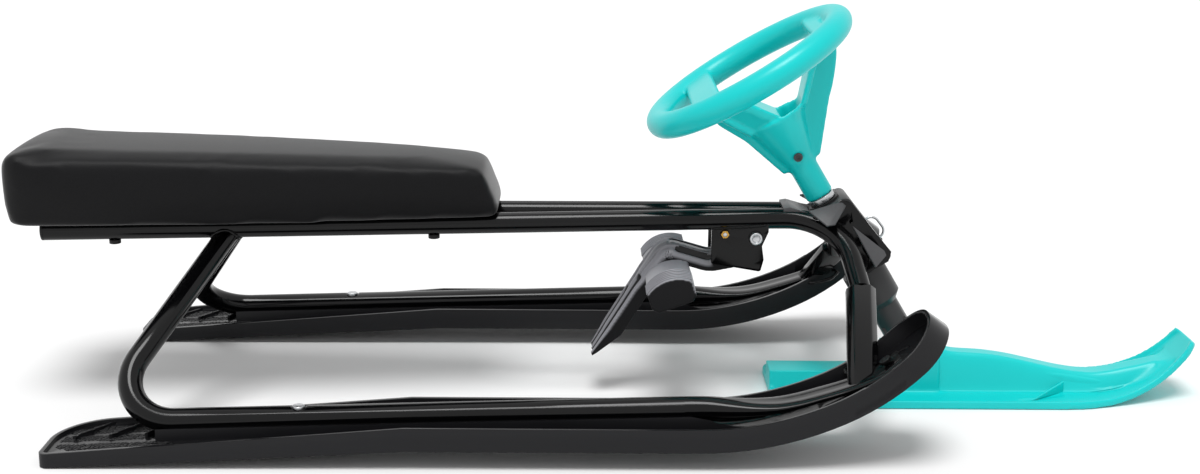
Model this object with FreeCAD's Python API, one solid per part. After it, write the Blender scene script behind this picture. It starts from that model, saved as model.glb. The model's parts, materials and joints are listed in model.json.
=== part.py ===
import FreeCAD, Part
import math
import os

Vector = FreeCAD.Vector

# A steering sled: +X forward, +Y to the rider's left, +Z up, in millimetres.
# The origin is on the ground under the middle of the sled.

# Fits
contact_gap = 0.05
weld_gap = 0.8
running_gap = 0.05
bolt_gap = 0.2
moving_gap = 0.4

# Top rails, two tubes from behind the seat to the steering head
rail_diameter = 20.0
rail_wall = 1.6
rail_rear_x = -545.0
rail_rear_y = 44.0
rail_rear_z = 168.5
rail_corner_x = 214.0
rail_corner_y = 11.4
rail_corner_z = 178.4
rail_end_x = 225.5
rail_end_y = 82.0
rail_end_z = 125.0
rail_bend_radius = 60.0
tie_rear_x = 158.0
tie_front_x = 184.0
tie_half_width = 20.0
tie_thickness = 3.0
tie_sink = 2.0
tie_crown = 1.0
tie_flat = 6.0
plug_flange = 2.5
plug_depth = 16.0

# Lower rails, each one tube bent from the rear strut into the rail on the runner
lower_diameter = 22.0
lower_wall = 1.6
strut_top_x = -373.0
lower_corner_x = -470.0
lower_y = 185.0
lower_rear_z = 27.2
lower_slope = 0.0305
lower_bend_radius = 45.0
flat_start_x = 62.0
flat_end_x = 246.0
flat_width = 33.0
flat_height = 6.0
flat_lift = 1.0
dimple_radius = 12.0
dimple_depth = 3.0
pinch_length = 20.0

# Front struts, faceted tubes from the rails' ends to the flattened lower rails
front_strut_width = 28.0
front_strut_depth = 18.0
front_strut_chamfer = 6.0
front_strut_wall = 2.2
front_strut_foot_x = 215.5
front_strut_foot_y = 176.0
front_strut_cap = 3.0

# Runners, two identical moulded trays
runner_width = 86.0
runner_wall = 4.0
runner_tail_floor = 9.5
runner_floor = 7.0
runner_tail_x = -508.0
runner_tail_rim = 12.5
runner_knee_x = -190.0
runner_knee_z = 17.0
runner_rim = 21.0
runner_upturn_x = 68.0
runner_upturn_radius = 300.0
runner_upturn_angle = 25.0
runner_tip_radius = 230.0
runner_tip_angle = 55.0
runner_tail_corner = 46.0
runner_heel_corner = 9.0
runner_tip_corner = 40.0
saddle_width = 24.0
saddle_rear_x = -412.0
saddle_front_x = 244.0
saddle_drop = 4.0
rib_thickness = 2.4
rib_height = 3.5
rib_spacing = 32.0
rib_first_x = -488.0
rib_count = 3

# Runner bolts
runner_bolt_diameter = 6.0
runner_bolt_head = 11.0
runner_bolt_head_height = 3.5
runner_bolt_rear_x = -286.5
runner_bolt_front_x = 236.0
nut_flats = 10.0
nut_height = 4.0
nut_cover = 1.2

# Seat
board_thickness = 9.0
board_rear_x = -558.0
board_front_x = -126.0
board_rear_half = 64.0
board_front_half = 38.0
board_corner = 18.0
cushion_rear_x = -573.0
cushion_front_x = -115.0
cushion_rear_half = 75.5
cushion_middle_half = 68.0
cushion_front_half = 49.0
cushion_rear_height = 65.0
cushion_middle_height = 58.0
cushion_front_height = 47.5
cushion_hem = 0.5
cushion_edge = 9.0
cushion_crown = 2.0
cushion_draw_in = 4.0
cushion_rear_round = 13.0
cushion_front_round = 11.0
cushion_front_lean = 14.0
seat_bolt_diameter = 6.0
seat_bolt_head = 11.0
seat_bolt_head_height = 4.0
seat_bolt_rear_x = -480.0
seat_bolt_front_x = -178.0
tee_flange = 17.0
tee_flange_height = 1.2
tee_barrel = 8.0

# Steering head: local Z runs up the column, local X forward, from the hub's lower face
head_x = 195.4
head_z = 197.5
head_tilt = 31.2
column_diameter = 19.0
column_wall = 2.0
column_top = 62.0
column_bottom = -148.0
bracket_thickness = 4.0
bracket_half_width = 24.0
bracket_top = -8.0
bracket_bottom = -84.0
bracket_top_reach = 22.0
bracket_bottom_reach = 32.0
bracket_top_back = -17.0
bracket_bottom_back = -15.0
bracket_bend = 7.0
gusset_thickness = 3.0
gusset_back = -16.0
gusset_hole = 4.0
bush_outer = 25.0
bush_flange = 31.0
bush_flange_height = 2.0
ring_outer = 26.0

# Steering wheel
wheel_rim_height = 142.0
wheel_rim_radius = 97.5
wheel_rim_tube = 26.0
hub_diameter = 27.5
hub_collar = 38.0
cup_height = 92.0
cup_radius = 30.0
cup_wall = 4.0
cup_floor = 66.0
spoke_thickness = 7.0
spoke_inner_half = 20.0
spoke_outer_half = 27.0
spoke_reach = 60.0
bar_front_reach = 64.0
bar_rear_reach = 48.0
bar_rise = 7.0
bar_width = 30.0
bar_thickness = 9.0
keel_thickness = 8.0
keel_foot = 36.0
keel_toe = 20.0
keel_front_waist = 57.0
keel_front_end = 80.0
keel_rear_waist = 36.0
keel_rear_end = 50.0
wheel_bolt_height = 47.5
wheel_bolt_diameter = 5.0
wheel_bolt_head = 8.5
wheel_bolt_sink = 3.0

# Knuckle between the column and the steering ski
knuckle_collar = 43.0
knuckle_socket = 29.5
knuckle_collar_end = -120.0
knuckle_cone_end = -127.0
knuckle_socket_end = -158.0
knuckle_pin_diameter = 5.0
knuckle_pin_height = -104.0
tongue_width = 22.0
tongue_radius = 13.0
pivot_height = -183.0
pivot_bolt_diameter = 8.0
pivot_head = 13.0
pivot_head_height = 4.0
pivot_tail = 7.0
pivot_nut_height = 6.0

# Steering ski
ski_rear_x = 150.0
ski_tip_x = 569.0
ski_half_width = 60.0
ski_tip_half = 25.0
ski_taper_x = 452.0
ski_thickness = 4.5
ski_upturn_x = 466.0
ski_upturn_radius = 124.0
ski_rear_corner = 12.0
ski_tip_corner = 17.0
hump_base_half = 22.0
hump_top_half = 11.5
hump_low_height = 24.0
hump_front_height = 26.5
hump_front_x = 430.0
hump_end_height = 14.0
hump_end_x = 518.0
hump_shell = 3.5
box_half_length = 27.0
box_half_width = 23.5
box_cover = 6.0
slot_half_length = 23.0
slot_floor_gap = 3.0
edge_lip = 3.0
edge_lip_width = 4.0

# Brake
bracket_plate = 3.0
brake_half_inside = 20.5
brake_rear_x = 89.0
brake_front_x = 140.0
brake_low_rear_z = 134.5
brake_low_front_z = 126.5
brake_web_x = 123.0
brake_web_inset = 5.0
brake_toe = 3.0
brake_step_height = 12.0
brake_waist = 2.0
brake_waist_drop = 8.0
brake_nose = 4.0
brake_nose_rise = 6.0
brake_corner = 2.5
pivot_x = 131.8
pivot_z = 160.0
brake_bolt_diameter = 6.0
brake_bolt_head = 12.0
brake_bolt_head_height = 4.5
brake_bolt_tail = 8.0
brake_nut_height = 6.5
stop_x = 101.8
stop_z = 164.0
stop_diameter = 4.0
stop_head = 7.0
stop_head_height = 3.5
stop_tail = 4.5
stop_nut_height = 4.0
lever_half_width = 19.0
lever_wall = 3.0
lever_depth = 16.0
lever_front_x = 112.0
lever_front_z = 145.5
lever_knee_x = 88.0
lever_knee_z = 141.0
lever_bend_x = 43.0
lever_bend_z = 154.0
lever_shin_x = -16.0
lever_shin_z = 70.0
lever_tip_x = -22.5
lever_tip_z = 44.0
lever_bend_radius = 20.0
lever_knee_radius = 20.0
lever_shin_radius = 30.0
cheek_step = 2.0
cheek_lap = 8.0
claw_depth = 12.0
claw_width = 7.0
claw_root = 4.0
claw_point = 2.0
rib_crest = 2.5
rib_offset = 9.5
rib_base = 6.5
lever_bush_outer = 9.0
lever_eye_wall = 2.2
peg_x = 48.0
peg_z = 122.0
peg_length = 44.0
peg_height = 28.0
peg_crown = 8.0
peg_tilt = 20.0
peg_reach = 71.0
peg_corner = 5.0
peg_screw_diameter = 5.0
peg_screw_head = 9.0
peg_screw_head_height = 3.0

# Brake return spring, a torsion spring round the pivot
spring_wire = 1.8
spring_radius = 7.9
spring_turns = 5
spring_pitch = 2.6
spring_leg_x = 178.0
spring_leg_bend = 3.0

# Tow loop
tow_wire = 2.4
tow_span = 23.0
tow_reach = 8.6
tow_height = -55.0
tow_root = 2.0

# Longer than any piece, for trimming
beyond = 400.0

# The pressed end's sections: place from its start to its end, share of the full width,
# share of the full pressing
flat_shares = ((0.235, 0.45, 0.31), (0.535, 0.82, 0.72), (0.775, 1.0, 1.0), (1.0, 1.0, 1.0))

# How far up from the keels' foot to the rim their waists and ends stand
keel_waist_share = 0.448
keel_front_share = 0.755
keel_rear_share = 0.689

rail_radius = rail_diameter / 2
lower_radius = lower_diameter / 2
column_radius = column_diameter / 2
board_low = rail_radius + contact_gap
board_top = board_low + board_thickness
seat_bolt_x = (seat_bolt_rear_x, seat_bolt_front_x)
bar_height = wheel_rim_height + bar_rise - bar_thickness / 2
rail_pitch = math.atan2(rail_corner_z - rail_rear_z, rail_corner_x - rail_rear_x)


def rail_y(x):
    share = (x - rail_rear_x) / (rail_corner_x - rail_rear_x)
    return rail_rear_y + share * (rail_corner_y - rail_rear_y)


def rail_z(x):
    return rail_rear_z + (x - rail_rear_x) * math.tan(rail_pitch)


def lower_z(x):
    return lower_rear_z + (x - lower_corner_x) * lower_slope


# Shape helpers

def corner_arc(before, corner, after, radius):
    """The two tangent points and the middle of a rounded corner."""
    back = (before - corner).normalize()
    ahead = (after - corner).normalize()
    half = back.getAngle(ahead) / 2
    inward = (back + ahead).normalize()
    run = radius / math.tan(half)
    middle = corner + inward * (radius / math.sin(half) - radius)
    return corner + back * run, middle, corner + ahead * run


def bent_path(points, radii):
    """An open wire of straight runs joined by tangent arcs."""
    edges = []
    last = points[0]
    for before, corner, after, radius in zip(points, points[1:], points[2:], radii):
        start, middle, end = corner_arc(before, corner, after, radius)
        edges.append(Part.LineSegment(last, start).toShape())
        edges.append(Part.Arc(start, middle, end).toShape())
        last = end
    edges.append(Part.LineSegment(last, points[-1]).toShape())
    return Part.Wire(edges)


def outline(points, radii):
    """A closed wire with rounded corners; a radius of 0 leaves a corner sharp."""
    count = len(points)
    corners = []
    for i, radius in enumerate(radii):
        if radius:
            corners.append(corner_arc(points[i - 1], points[i], points[(i + 1) % count], radius))
        else:
            corners.append((points[i], None, points[i]))
    edges = []
    for i, (start, middle, end) in enumerate(corners):
        if middle:
            edges.append(Part.Arc(start, middle, end).toShape())
        following = corners[(i + 1) % count][0]
        if end.distanceToPoint(following) > 1e-6:
            edges.append(Part.LineSegment(end, following).toShape())
    return Part.Wire(edges)


def prism(points, radii, along):
    return Part.Face(outline(points, radii)).extrude(along)


def side_prism(points, radii, low_y, high_y):
    """A prism along Y from (x, z) points."""
    corners = [Vector(x, low_y, z) for x, z in points]
    return prism(corners, radii, Vector(0, high_y - low_y, 0))


def plan_prism(points, radii, low_z, high_z):
    """A prism along Z from (x, y) points."""
    corners = [Vector(x, y, low_z) for x, y in points]
    return prism(corners, radii, Vector(0, 0, high_z - low_z))


def rod(points, radii, radius):
    """A round bar along a bent path."""
    path = bent_path(points, radii)
    ring = Part.Wire([Part.Circle(points[0], points[1] - points[0], radius).toShape()])
    return path.makePipeShell([ring], True, False)


def cylinder(radius, start, end):
    along = end - start
    return Part.makeCylinder(radius, along.Length, start, along)


def hex_prism(flats, start, end):
    along = end - start
    turn = FreeCAD.Rotation(Vector(0, 0, 1), along)
    reach = flats / math.sqrt(3)
    angles = [math.radians(60 * i) for i in range(6)]
    flat_points = [Vector(reach * math.cos(a), reach * math.sin(a), 0) for a in angles]
    points = [start + turn.multVec(point) for point in flat_points]
    return prism(points, [0] * 6, along)


def strip(points, radii, depth):
    """The outline of a band: a bent line of (a, b) points and its parallel at depth on the right."""
    vectors = [Vector(a, b, 0) for a, b in points]
    runs = [(q - p).normalize() for p, q in zip(vectors, vectors[1:])]
    rights = [Vector(run.y, -run.x, 0) for run in runs]
    far = [vectors[0] + rights[0] * depth]
    far_radii = []
    for i in range(1, len(vectors) - 1):
        mitre = (rights[i - 1] + rights[i]).normalize()
        far.append(vectors[i] + mitre * (depth / mitre.dot(rights[i])))
        turns_right = runs[i - 1].cross(runs[i]).z < 0
        far_radii.append(radii[i - 1] + (-depth if turns_right else depth))
    far.append(vectors[-1] + rights[-1] * depth)
    all_points = [(v.x, v.y) for v in vectors] + [(v.x, v.y) for v in reversed(far)]
    all_radii = [0] + list(radii) + [0, 0] + list(reversed(far_radii)) + [0]
    return all_points, all_radii


def rounded_section(centre, across, up, width, height, radius):
    """A rounded rectangle in the plane of two unit vectors."""
    signs = ((-1, -1), (1, -1), (1, 1), (-1, 1))
    points = [centre + across * (a * width / 2) + up * (b * height / 2) for a, b in signs]
    return outline(points, [radius] * 4)


def half_space(point, way, size):
    """A block that fills the space on one side of a plane."""
    block = Part.makeBox(2 * size, 2 * size, size, Vector(-size, -size, 0))
    block.Placement = FreeCAD.Placement(point, FreeCAD.Rotation(Vector(0, 0, 1), way))
    return block


def mirrored(shape):
    return shape.mirror(Vector(0, 0, 0), Vector(0, 1, 0))


def largest(shape):
    return max(shape.Solids, key=lambda solid: solid.Volume)


def both_sides(solids):
    return Part.makeCompound(list(solids) + [mirrored(solid) for solid in solids])


# Top rails

rail_rear = Vector(rail_rear_x, rail_rear_y, rail_rear_z)
rail_corner = Vector(rail_corner_x, rail_corner_y, rail_corner_z)
rail_end = Vector(rail_end_x, rail_end_y, rail_end_z)
rail_leg = (rail_end - rail_corner).normalize()
rail_run = (rail_corner - rail_rear).normalize()
rail_long_end = rail_end + rail_leg * rail_radius


def make_top_rail():
    ends = [rail_rear - rail_run, rail_corner, rail_long_end + rail_leg]
    bore = rod(ends, [rail_bend_radius], rail_radius - rail_wall)
    rail = rail_core.cut(bore)
    for x in seat_bolt_x:
        rail = rail.cut(seat_bolt_hole(x))
    return rail


def make_tie_plate():
    """A plate across both rails where they start to bend down."""
    seat = rail_z(tie_rear_x) + rail_radius - tie_sink
    front = seat - (tie_front_x - tie_rear_x) ** 2 / (2 * rail_bend_radius) + tie_crown
    points = [(tie_rear_x, seat), (tie_front_x, front), (tie_front_x, front + tie_thickness),
              (tie_rear_x + tie_flat, seat + tie_thickness + tie_crown), (tie_rear_x, seat + tie_thickness)]
    plate = side_prism(points, [0] * 5, -tie_half_width, tie_half_width)
    return largest(plate.cut(rail_core).cut(mirrored(rail_core)))


def make_rail_plug():
    face = rail_rear - rail_run * contact_gap
    flange = cylinder(rail_radius, face - rail_run * plug_flange, face)
    barrel = cylinder(rail_radius - rail_wall - contact_gap, face, rail_rear + rail_run * plug_depth)
    return flange.fuse(barrel)


# Seat, built level with the rails' slope and then turned with them

seat_turn = FreeCAD.Rotation(Vector(0, 1, 0), math.degrees(-rail_pitch))
seat_place = FreeCAD.Placement(Vector(0, 0, rail_z(0)), seat_turn)


def seat_point(x, y, height):
    """A place on the seat, from the rails' centre line."""
    return seat_place.multVec(Vector(x, y, height))


def seat_bolt_hole(x):
    low = seat_point(x, rail_y(x), -2 * rail_diameter)
    return cylinder(seat_bolt_diameter / 2 + bolt_gap, low, seat_point(x, rail_y(x), 0.0) * 2 - low)


def board_blank(grow):
    """The bare board, or the room it needs in the cushion."""
    rear, front = board_rear_x - grow, board_front_x + grow
    rear_half, front_half = board_rear_half + grow, board_front_half + grow
    corners = [(rear, -rear_half), (front, -front_half), (front, front_half), (rear, rear_half)]
    return plan_prism(corners, [board_corner] * 4, board_low - grow, board_top + grow)


def make_seat_board():
    board = board_blank(0.0)
    for x in seat_bolt_x:
        for y in (rail_y(x), -rail_y(x)):
            low = Vector(x, y, board_low - 1)
            top = Vector(x, y, board_top + 1)
            seat = Vector(x, y, board_top - tee_flange_height - contact_gap)
            board = board.cut(cylinder(tee_barrel / 2 + contact_gap, low, top))
            board = board.cut(cylinder(tee_flange / 2 + contact_gap, seat, top))
    board.Placement = seat_place
    return board


def cushion_section(x, half, height, lift):
    """One upright section: flat below, sides drawn in at the foot, rounded shoulders and a crown."""
    low = board_low + cushion_hem + lift
    top = board_low + height
    round_edge = min(cushion_edge, 0.6 * (top - low))
    shoulder = top - round_edge
    foot = half - cushion_draw_in
    belly = (low + shoulder) / 2
    bulge = half - cushion_draw_in / 5
    slope = round_edge * (1 - math.sqrt(0.5))

    def at(y, z):
        return Vector(x, y, z)

    edge = half - round_edge
    arcs = [(at(foot, low), at(bulge, belly), at(half, shoulder)),
            (at(half, shoulder), at(half - slope, top - slope), at(edge, top)),
            (at(edge, top), at(0, top + cushion_crown), at(-edge, top)),
            (at(-edge, top), at(slope - half, top - slope), at(-half, shoulder)),
            (at(-half, shoulder), at(-bulge, belly), at(-foot, low))]
    base = Part.LineSegment(at(-foot, low), at(foot, low)).toShape()
    return Part.Wire([base] + [Part.Arc(*arc).toShape() for arc in arcs])


def make_seat_cushion():
    """The padding with its cover, drawn down round the board to the rails."""
    middle_x = (cushion_rear_x + cushion_front_x) / 2
    rear, front = cushion_rear_round, cushion_front_round
    top_x = cushion_front_x - cushion_front_lean
    rear_half, rear_height = cushion_rear_half, cushion_rear_height
    front_half, front_height = cushion_front_half, cushion_front_height
    rows = [(cushion_rear_x, rear_half - rear, rear_height - rear, rear / 4),
            (cushion_rear_x + rear / 4, rear_half - rear / 3, rear_height - rear / 3, rear / 12),
            (cushion_rear_x + rear, rear_half, rear_height, 0.0),
            (middle_x, cushion_middle_half, cushion_middle_height, 0.0),
            (top_x - front, front_half, front_height, 0.0),
            (top_x, front_half - front / 8, front_height - front / 3, 0.0),
            (top_x + cushion_front_lean / 2, front_half - front / 4, 0.55 * front_height, 0.0),
            (cushion_front_x, front_half - front / 2, front_height / 6, front / 10)]
    sections = [cushion_section(*row) for row in rows]
    ends = [Part.makeLoft(sections[:3], True, True), Part.makeLoft(sections[4:], True, True)]
    cushion = Part.makeLoft(sections[2:5], True, False).fuse(ends)
    cushion = largest(cushion.cut(board_blank(contact_gap)))
    cushion.Placement = seat_place
    return cushion


def make_seat_bolts():
    bolts = []
    for x in seat_bolt_x:
        y = rail_y(x)
        under = -rail_radius - contact_gap
        seat = Vector(x, y, under)
        head = cylinder(seat_bolt_head / 2, seat - Vector(0, 0, seat_bolt_head_height), seat)
        end = Vector(x, y, board_top - tee_flange_height)
        bolt = head.fuse(cylinder(seat_bolt_diameter / 2, seat, end))
        bolt.Placement = seat_place
        bolts.append(bolt)
    return both_sides(bolts)


def make_seat_tee_nuts():
    nuts = []
    for x in seat_bolt_x:
        y = rail_y(x)
        seat = board_top - tee_flange_height
        flange = cylinder(tee_flange / 2, Vector(x, y, seat), Vector(x, y, board_top))
        barrel = cylinder(tee_barrel / 2, Vector(x, y, board_low + 1), Vector(x, y, seat))
        bore = cylinder(seat_bolt_diameter / 2 + contact_gap, Vector(x, y, board_low), Vector(x, y, seat))
        nut = flange.fuse(barrel).cut(bore)
        nut.Placement = seat_place
        nuts.append(nut)
    return both_sides(nuts)


# Lower rails

strut_top = Vector(strut_top_x, rail_y(strut_top_x), rail_z(strut_top_x) - 0.7 * rail_radius)
lower_corner = Vector(lower_corner_x, lower_y, lower_rear_z)
flat_start = Vector(flat_start_x, lower_y, lower_z(flat_start_x))


def arc_point(centre_x, centre_z, radius, degrees):
    angle = math.radians(degrees)
    return centre_x + radius * math.sin(angle), centre_z - radius * math.cos(angle)


def runner_height(x, rise):
    """The height of a line at a rise over the runner's sole, ahead of the knee."""
    turn_x, turn_z = arc_point(runner_upturn_x, runner_knee_z + runner_upturn_radius,
                               runner_upturn_radius - rise, runner_upturn_angle)
    if x <= turn_x:
        across = max(0.0, x - runner_upturn_x)
        radius = runner_upturn_radius - rise
        return runner_knee_z + runner_upturn_radius - math.sqrt(radius ** 2 - across ** 2)
    spread = runner_upturn_radius - runner_tip_radius
    centre_x, centre_z = arc_point(runner_upturn_x, runner_knee_z + runner_upturn_radius,
                                   spread, runner_upturn_angle)
    return centre_z - math.sqrt((runner_tip_radius - rise) ** 2 - (x - centre_x) ** 2)


flat_centres = [flat_start]
flat_sizes = [(lower_diameter, lower_diameter)]
for along, spread, pressing in flat_shares:
    x = flat_start_x + along * (flat_end_x - flat_start_x)
    width = lower_diameter + spread * (flat_width - lower_diameter)
    height = lower_diameter + pressing * (flat_height - lower_diameter)
    flat_centres.append(Vector(x, lower_y, runner_height(x, runner_floor + height / 2 + flat_lift)))
    flat_sizes.append((width, height))


def flat_section(index):
    """A section of the pressed front end, square to the line through its neighbours."""
    before = flat_centres[max(index - 1, 0)]
    after = flat_centres[min(index + 1, len(flat_centres) - 1)]
    run = (after - before).normalize()
    if index == 0:
        run = Vector(1, 0, lower_slope).normalize()
    width, height = flat_sizes[index]
    across = Vector(0, 1, 0)
    up = run.cross(across)
    corner = min(width, height) / 2 - 0.1
    return rounded_section(flat_centres[index], across, up, width, height, corner)


def flat_normal(x):
    """The point on the pressed end's centre line at x, and the way up from it."""
    for before, after in zip(flat_centres, flat_centres[1:]):
        if before.x <= x <= after.x:
            share = (x - before.x) / (after.x - before.x)
            run = (after - before).normalize()
            return before + (after - before) * share, run.cross(Vector(0, 1, 0))
    raise ValueError("x is off the pressed end")


strut_foot = Vector(front_strut_foot_x, front_strut_foot_y, flat_normal(front_strut_foot_x)[0].z)
strut_run = strut_foot - rail_end
strut_mitre = (rail_leg + Vector(strut_run).normalize()).normalize()
rail_core = rod([rail_rear, rail_corner, rail_long_end], [rail_bend_radius], rail_radius)
rail_core = rail_core.cut(half_space(rail_end, strut_mitre, 4 * rail_diameter))


def make_lower_core():
    path = bent_path([flat_start, lower_corner, strut_top], [lower_bend_radius])
    tube = path.makePipeShell([flat_section(0)], True, False)
    pressed = Part.makeLoft([flat_section(i) for i in range(len(flat_centres))], True, False)
    return tube.fuse(pressed)


def make_lower_rail(core):
    run = (strut_top - lower_corner).normalize()
    bore_path = [flat_start, lower_corner, strut_top + run]
    bore = rod(bore_path, [lower_bend_radius], lower_radius - lower_wall)
    x = runner_bolt_rear_x
    seat = Vector(x, lower_y, lower_z(x) + lower_radius - dimple_depth)
    pinch_low = Vector(x - pinch_length / 2, lower_y, lower_z(x - pinch_length / 2))
    pinch_high = Vector(x + pinch_length / 2, lower_y, lower_z(x + pinch_length / 2))
    bore = bore.cut(cylinder(lower_radius, pinch_low, pinch_high))
    dimple_centre = seat + Vector(0, 0, dimple_radius)
    reach = Vector(0, lower_diameter, 0)
    dimple = cylinder(dimple_radius, dimple_centre - reach, dimple_centre + reach)
    spot = cylinder(runner_bolt_head / 2 + bolt_gap, seat, dimple_centre)
    rail = core.cut(bore).cut(dimple).cut(spot).cut(rail_core)
    for hole in runner_bolt_holes():
        rail = rail.cut(hole)
    return largest(rail)


# Runners: a tray whose sole is straight, then level, then two arcs up to the tip

def runner_line(tail_rise, rise, y):
    """Edges from tail to tip at a height over the sole, on the plane of y."""
    first_x = runner_upturn_x
    first_z = runner_knee_z + runner_upturn_radius
    spread = runner_upturn_radius - runner_tip_radius
    second_x, second_z = arc_point(first_x, first_z, spread, runner_upturn_angle)

    def first(degrees):
        x, z = arc_point(first_x, first_z, runner_upturn_radius - rise, degrees)
        return Vector(x, y, z)

    def second(degrees):
        x, z = arc_point(second_x, second_z, runner_tip_radius - rise, degrees)
        return Vector(x, y, z)

    tail = Vector(runner_tail_x, y, tail_rise)
    knee = Vector(runner_knee_x, y, runner_knee_z + rise)
    middle = (runner_upturn_angle + runner_tip_angle) / 2
    return [Part.LineSegment(tail, knee).toShape(),
            Part.LineSegment(knee, first(0)).toShape(),
            Part.Arc(first(0), first(runner_upturn_angle / 2), first(runner_upturn_angle)).toShape(),
            Part.Arc(second(runner_upturn_angle), second(middle), second(runner_tip_angle)).toShape()]


def runner_sheet(low, high, half_width):
    """A solid between two heights over the sole, each given at the tail and along the rest."""
    y = lower_y - half_width
    below = runner_line(low[0], low[1], y)
    above = runner_line(high[0], high[1], y)
    tail = Part.LineSegment(below[0].Vertexes[0].Point, above[0].Vertexes[0].Point).toShape()
    tip = Part.LineSegment(below[-1].Vertexes[-1].Point, above[-1].Vertexes[-1].Point).toShape()
    wire = Part.Wire(Part.__sortEdges__(below + [tip] + above + [tail]))
    return Part.Face(wire).extrude(Vector(0, 2 * half_width, 0))


def runner_tip_x():
    return runner_line(0.0, 0.0, lower_y)[-1].Vertexes[-1].Point.x


def runner_plan(inset, low_z, high_z):
    """The tray's outline from above: a square heel outside and a wide round inside."""
    tail = runner_tail_x + inset
    tip = runner_tip_x() - inset
    inner = lower_y - runner_width / 2 + inset
    outer = lower_y + runner_width / 2 - inset
    corners = [(tail, inner), (tip, inner), (tip, outer), (tail, outer)]
    heel = max(runner_heel_corner - inset, 1.0)
    return plan_prism(corners, [heel, 0, 0, runner_tail_corner - inset], low_z, high_z)


def runner_tip_waste(inset):
    """What is trimmed off the tip so that it ends in a round, seen square to its own slope."""
    end = runner_line(0.0, 0.0, lower_y)[-1].Vertexes[-1].Point
    slope = math.radians(runner_tip_angle)
    along = Vector(math.cos(slope), 0, math.sin(slope))
    up = Vector(-math.sin(slope), 0, math.cos(slope))
    across = Vector(0, 1, 0)
    half = runner_width / 2 - inset
    deep = 3 * runner_rim
    reach = runner_tip_corner + runner_rim

    def at(run, side):
        return Vector(end.x, lower_y, end.z) + along * run + across * side - up * deep

    outside = [at(-runner_tip_corner, -runner_width), at(reach, -runner_width),
               at(reach, runner_width), at(-runner_tip_corner, runner_width)]
    kept = [at(-2 * reach, -half), at(-inset, -half), at(-inset, half), at(-2 * reach, half)]
    round_end = runner_tip_corner - inset
    keep = prism(kept, [0, round_end, round_end, 0], up * (2 * deep))
    return prism(outside, [0] * 4, up * (2 * deep)).cut(keep)


def make_runner(core, strut):
    half = runner_width / 2
    shell = runner_sheet((0.0, 0.0), (runner_tail_rim, runner_rim), half)
    shell = shell.common(runner_plan(0.0, -1.0, beyond)).cut(runner_tip_waste(0.0))
    pocket = runner_sheet((runner_tail_floor, runner_floor), (2 * runner_rim, 2 * runner_rim), half)
    pocket = pocket.common(runner_plan(runner_wall, -1.0, beyond)).cut(runner_tip_waste(runner_wall))
    runner = shell.cut(pocket)
    stations = [(saddle_rear_x, lower_z(saddle_rear_x)), (flat_start_x, lower_z(flat_start_x))]
    stations += [(c.x, c.z) for c in flat_centres[1:-1]]
    stations.append((saddle_front_x, flat_normal(saddle_front_x)[0].z))
    top = [(x, z - saddle_drop) for x, z in stations]
    bottom = [(saddle_front_x, 0.0), (saddle_rear_x, 0.0)]
    half_saddle = saddle_width / 2
    saddle = side_prism(top + bottom, [0] * (len(top) + 2), lower_y - half_saddle, lower_y + half_saddle)
    under = runner_sheet((runner_floor / 2, runner_floor / 2), (2 * runner_rim, 2 * runner_rim), half)
    runner = runner.fuse(saddle.common(under))
    for i in range(rib_count):
        rib = runner_rib(rib_first_x + i * rib_spacing)
        runner = runner.fuse(rib.common(under).common(runner_plan(runner_wall / 2, -1.0, beyond)))
    other_side = strut.mirror(Vector(0, lower_y, 0), Vector(0, 1, 0))
    runner = runner.cut(core).cut(strut).cut(other_side)
    for hole in runner_bolt_holes():
        runner = runner.cut(hole)
    for start, end in runner_nut_lines():
        low = start - (end - start).normalize() * nut_height
        runner = runner.cut(hex_prism(nut_flats + 2 * bolt_gap, low, end))
    return largest(runner.removeSplitter())


def runner_rib(x):
    """A slanting stiffening rib on the heel's floor."""
    half = runner_width / 2
    lean = runner_width / 3
    corners = [(x, lower_y), (x + rib_thickness, lower_y),
               (x + rib_thickness + lean, lower_y + half), (x + lean, lower_y + half)]
    share = (x - runner_tail_x) / (runner_knee_x - runner_tail_x)
    floor = runner_tail_floor + share * runner_knee_z
    return plan_prism(corners, [0] * 4, 0.0, floor + rib_height)


def runner_bolt_lines():
    """For each runner bolt: the seat under its head and its end at the foot of the nut."""
    x = runner_bolt_rear_x
    head = Vector(x, lower_y, lower_z(x) + lower_radius - dimple_depth + contact_gap)
    share = (x - runner_tail_x) / (runner_knee_x - runner_tail_x)
    sole = share * runner_knee_z
    lines = [(head, Vector(x, lower_y, sole + nut_cover))]
    centre, up = flat_normal(runner_bolt_front_x)
    seat = centre + up * (flat_height / 2 + contact_gap)
    lines.append((seat, centre - up * (flat_height / 2 + runner_floor - nut_cover)))
    return lines


def runner_nut_lines():
    """For each runner bolt: the nut's lower and upper faces."""
    lines = []
    for head, foot in runner_bolt_lines():
        up = (head - foot).normalize()
        lines.append((foot, foot + up * nut_height))
    return lines


def runner_bolt_holes():
    holes = []
    for head, foot in runner_bolt_lines():
        up = (head - foot).normalize()
        holes.append(cylinder(runner_bolt_diameter / 2 + bolt_gap, foot - up * nut_height, head + up))
    return holes


def make_runner_bolts():
    bolts = []
    for head, foot in runner_bolt_lines():
        up = (head - foot).normalize()
        cap = cylinder(runner_bolt_head / 2, head, head + up * runner_bolt_head_height)
        bolts.append(cap.fuse(cylinder(runner_bolt_diameter / 2, foot, head)))
    return both_sides(bolts)


def make_runner_nuts():
    nuts = []
    for low, high in runner_nut_lines():
        nut = hex_prism(nut_flats, low, high)
        nuts.append(nut.cut(cylinder(runner_bolt_diameter / 2 + contact_gap, low, high)))
    return both_sides(nuts)


# Front struts

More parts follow.
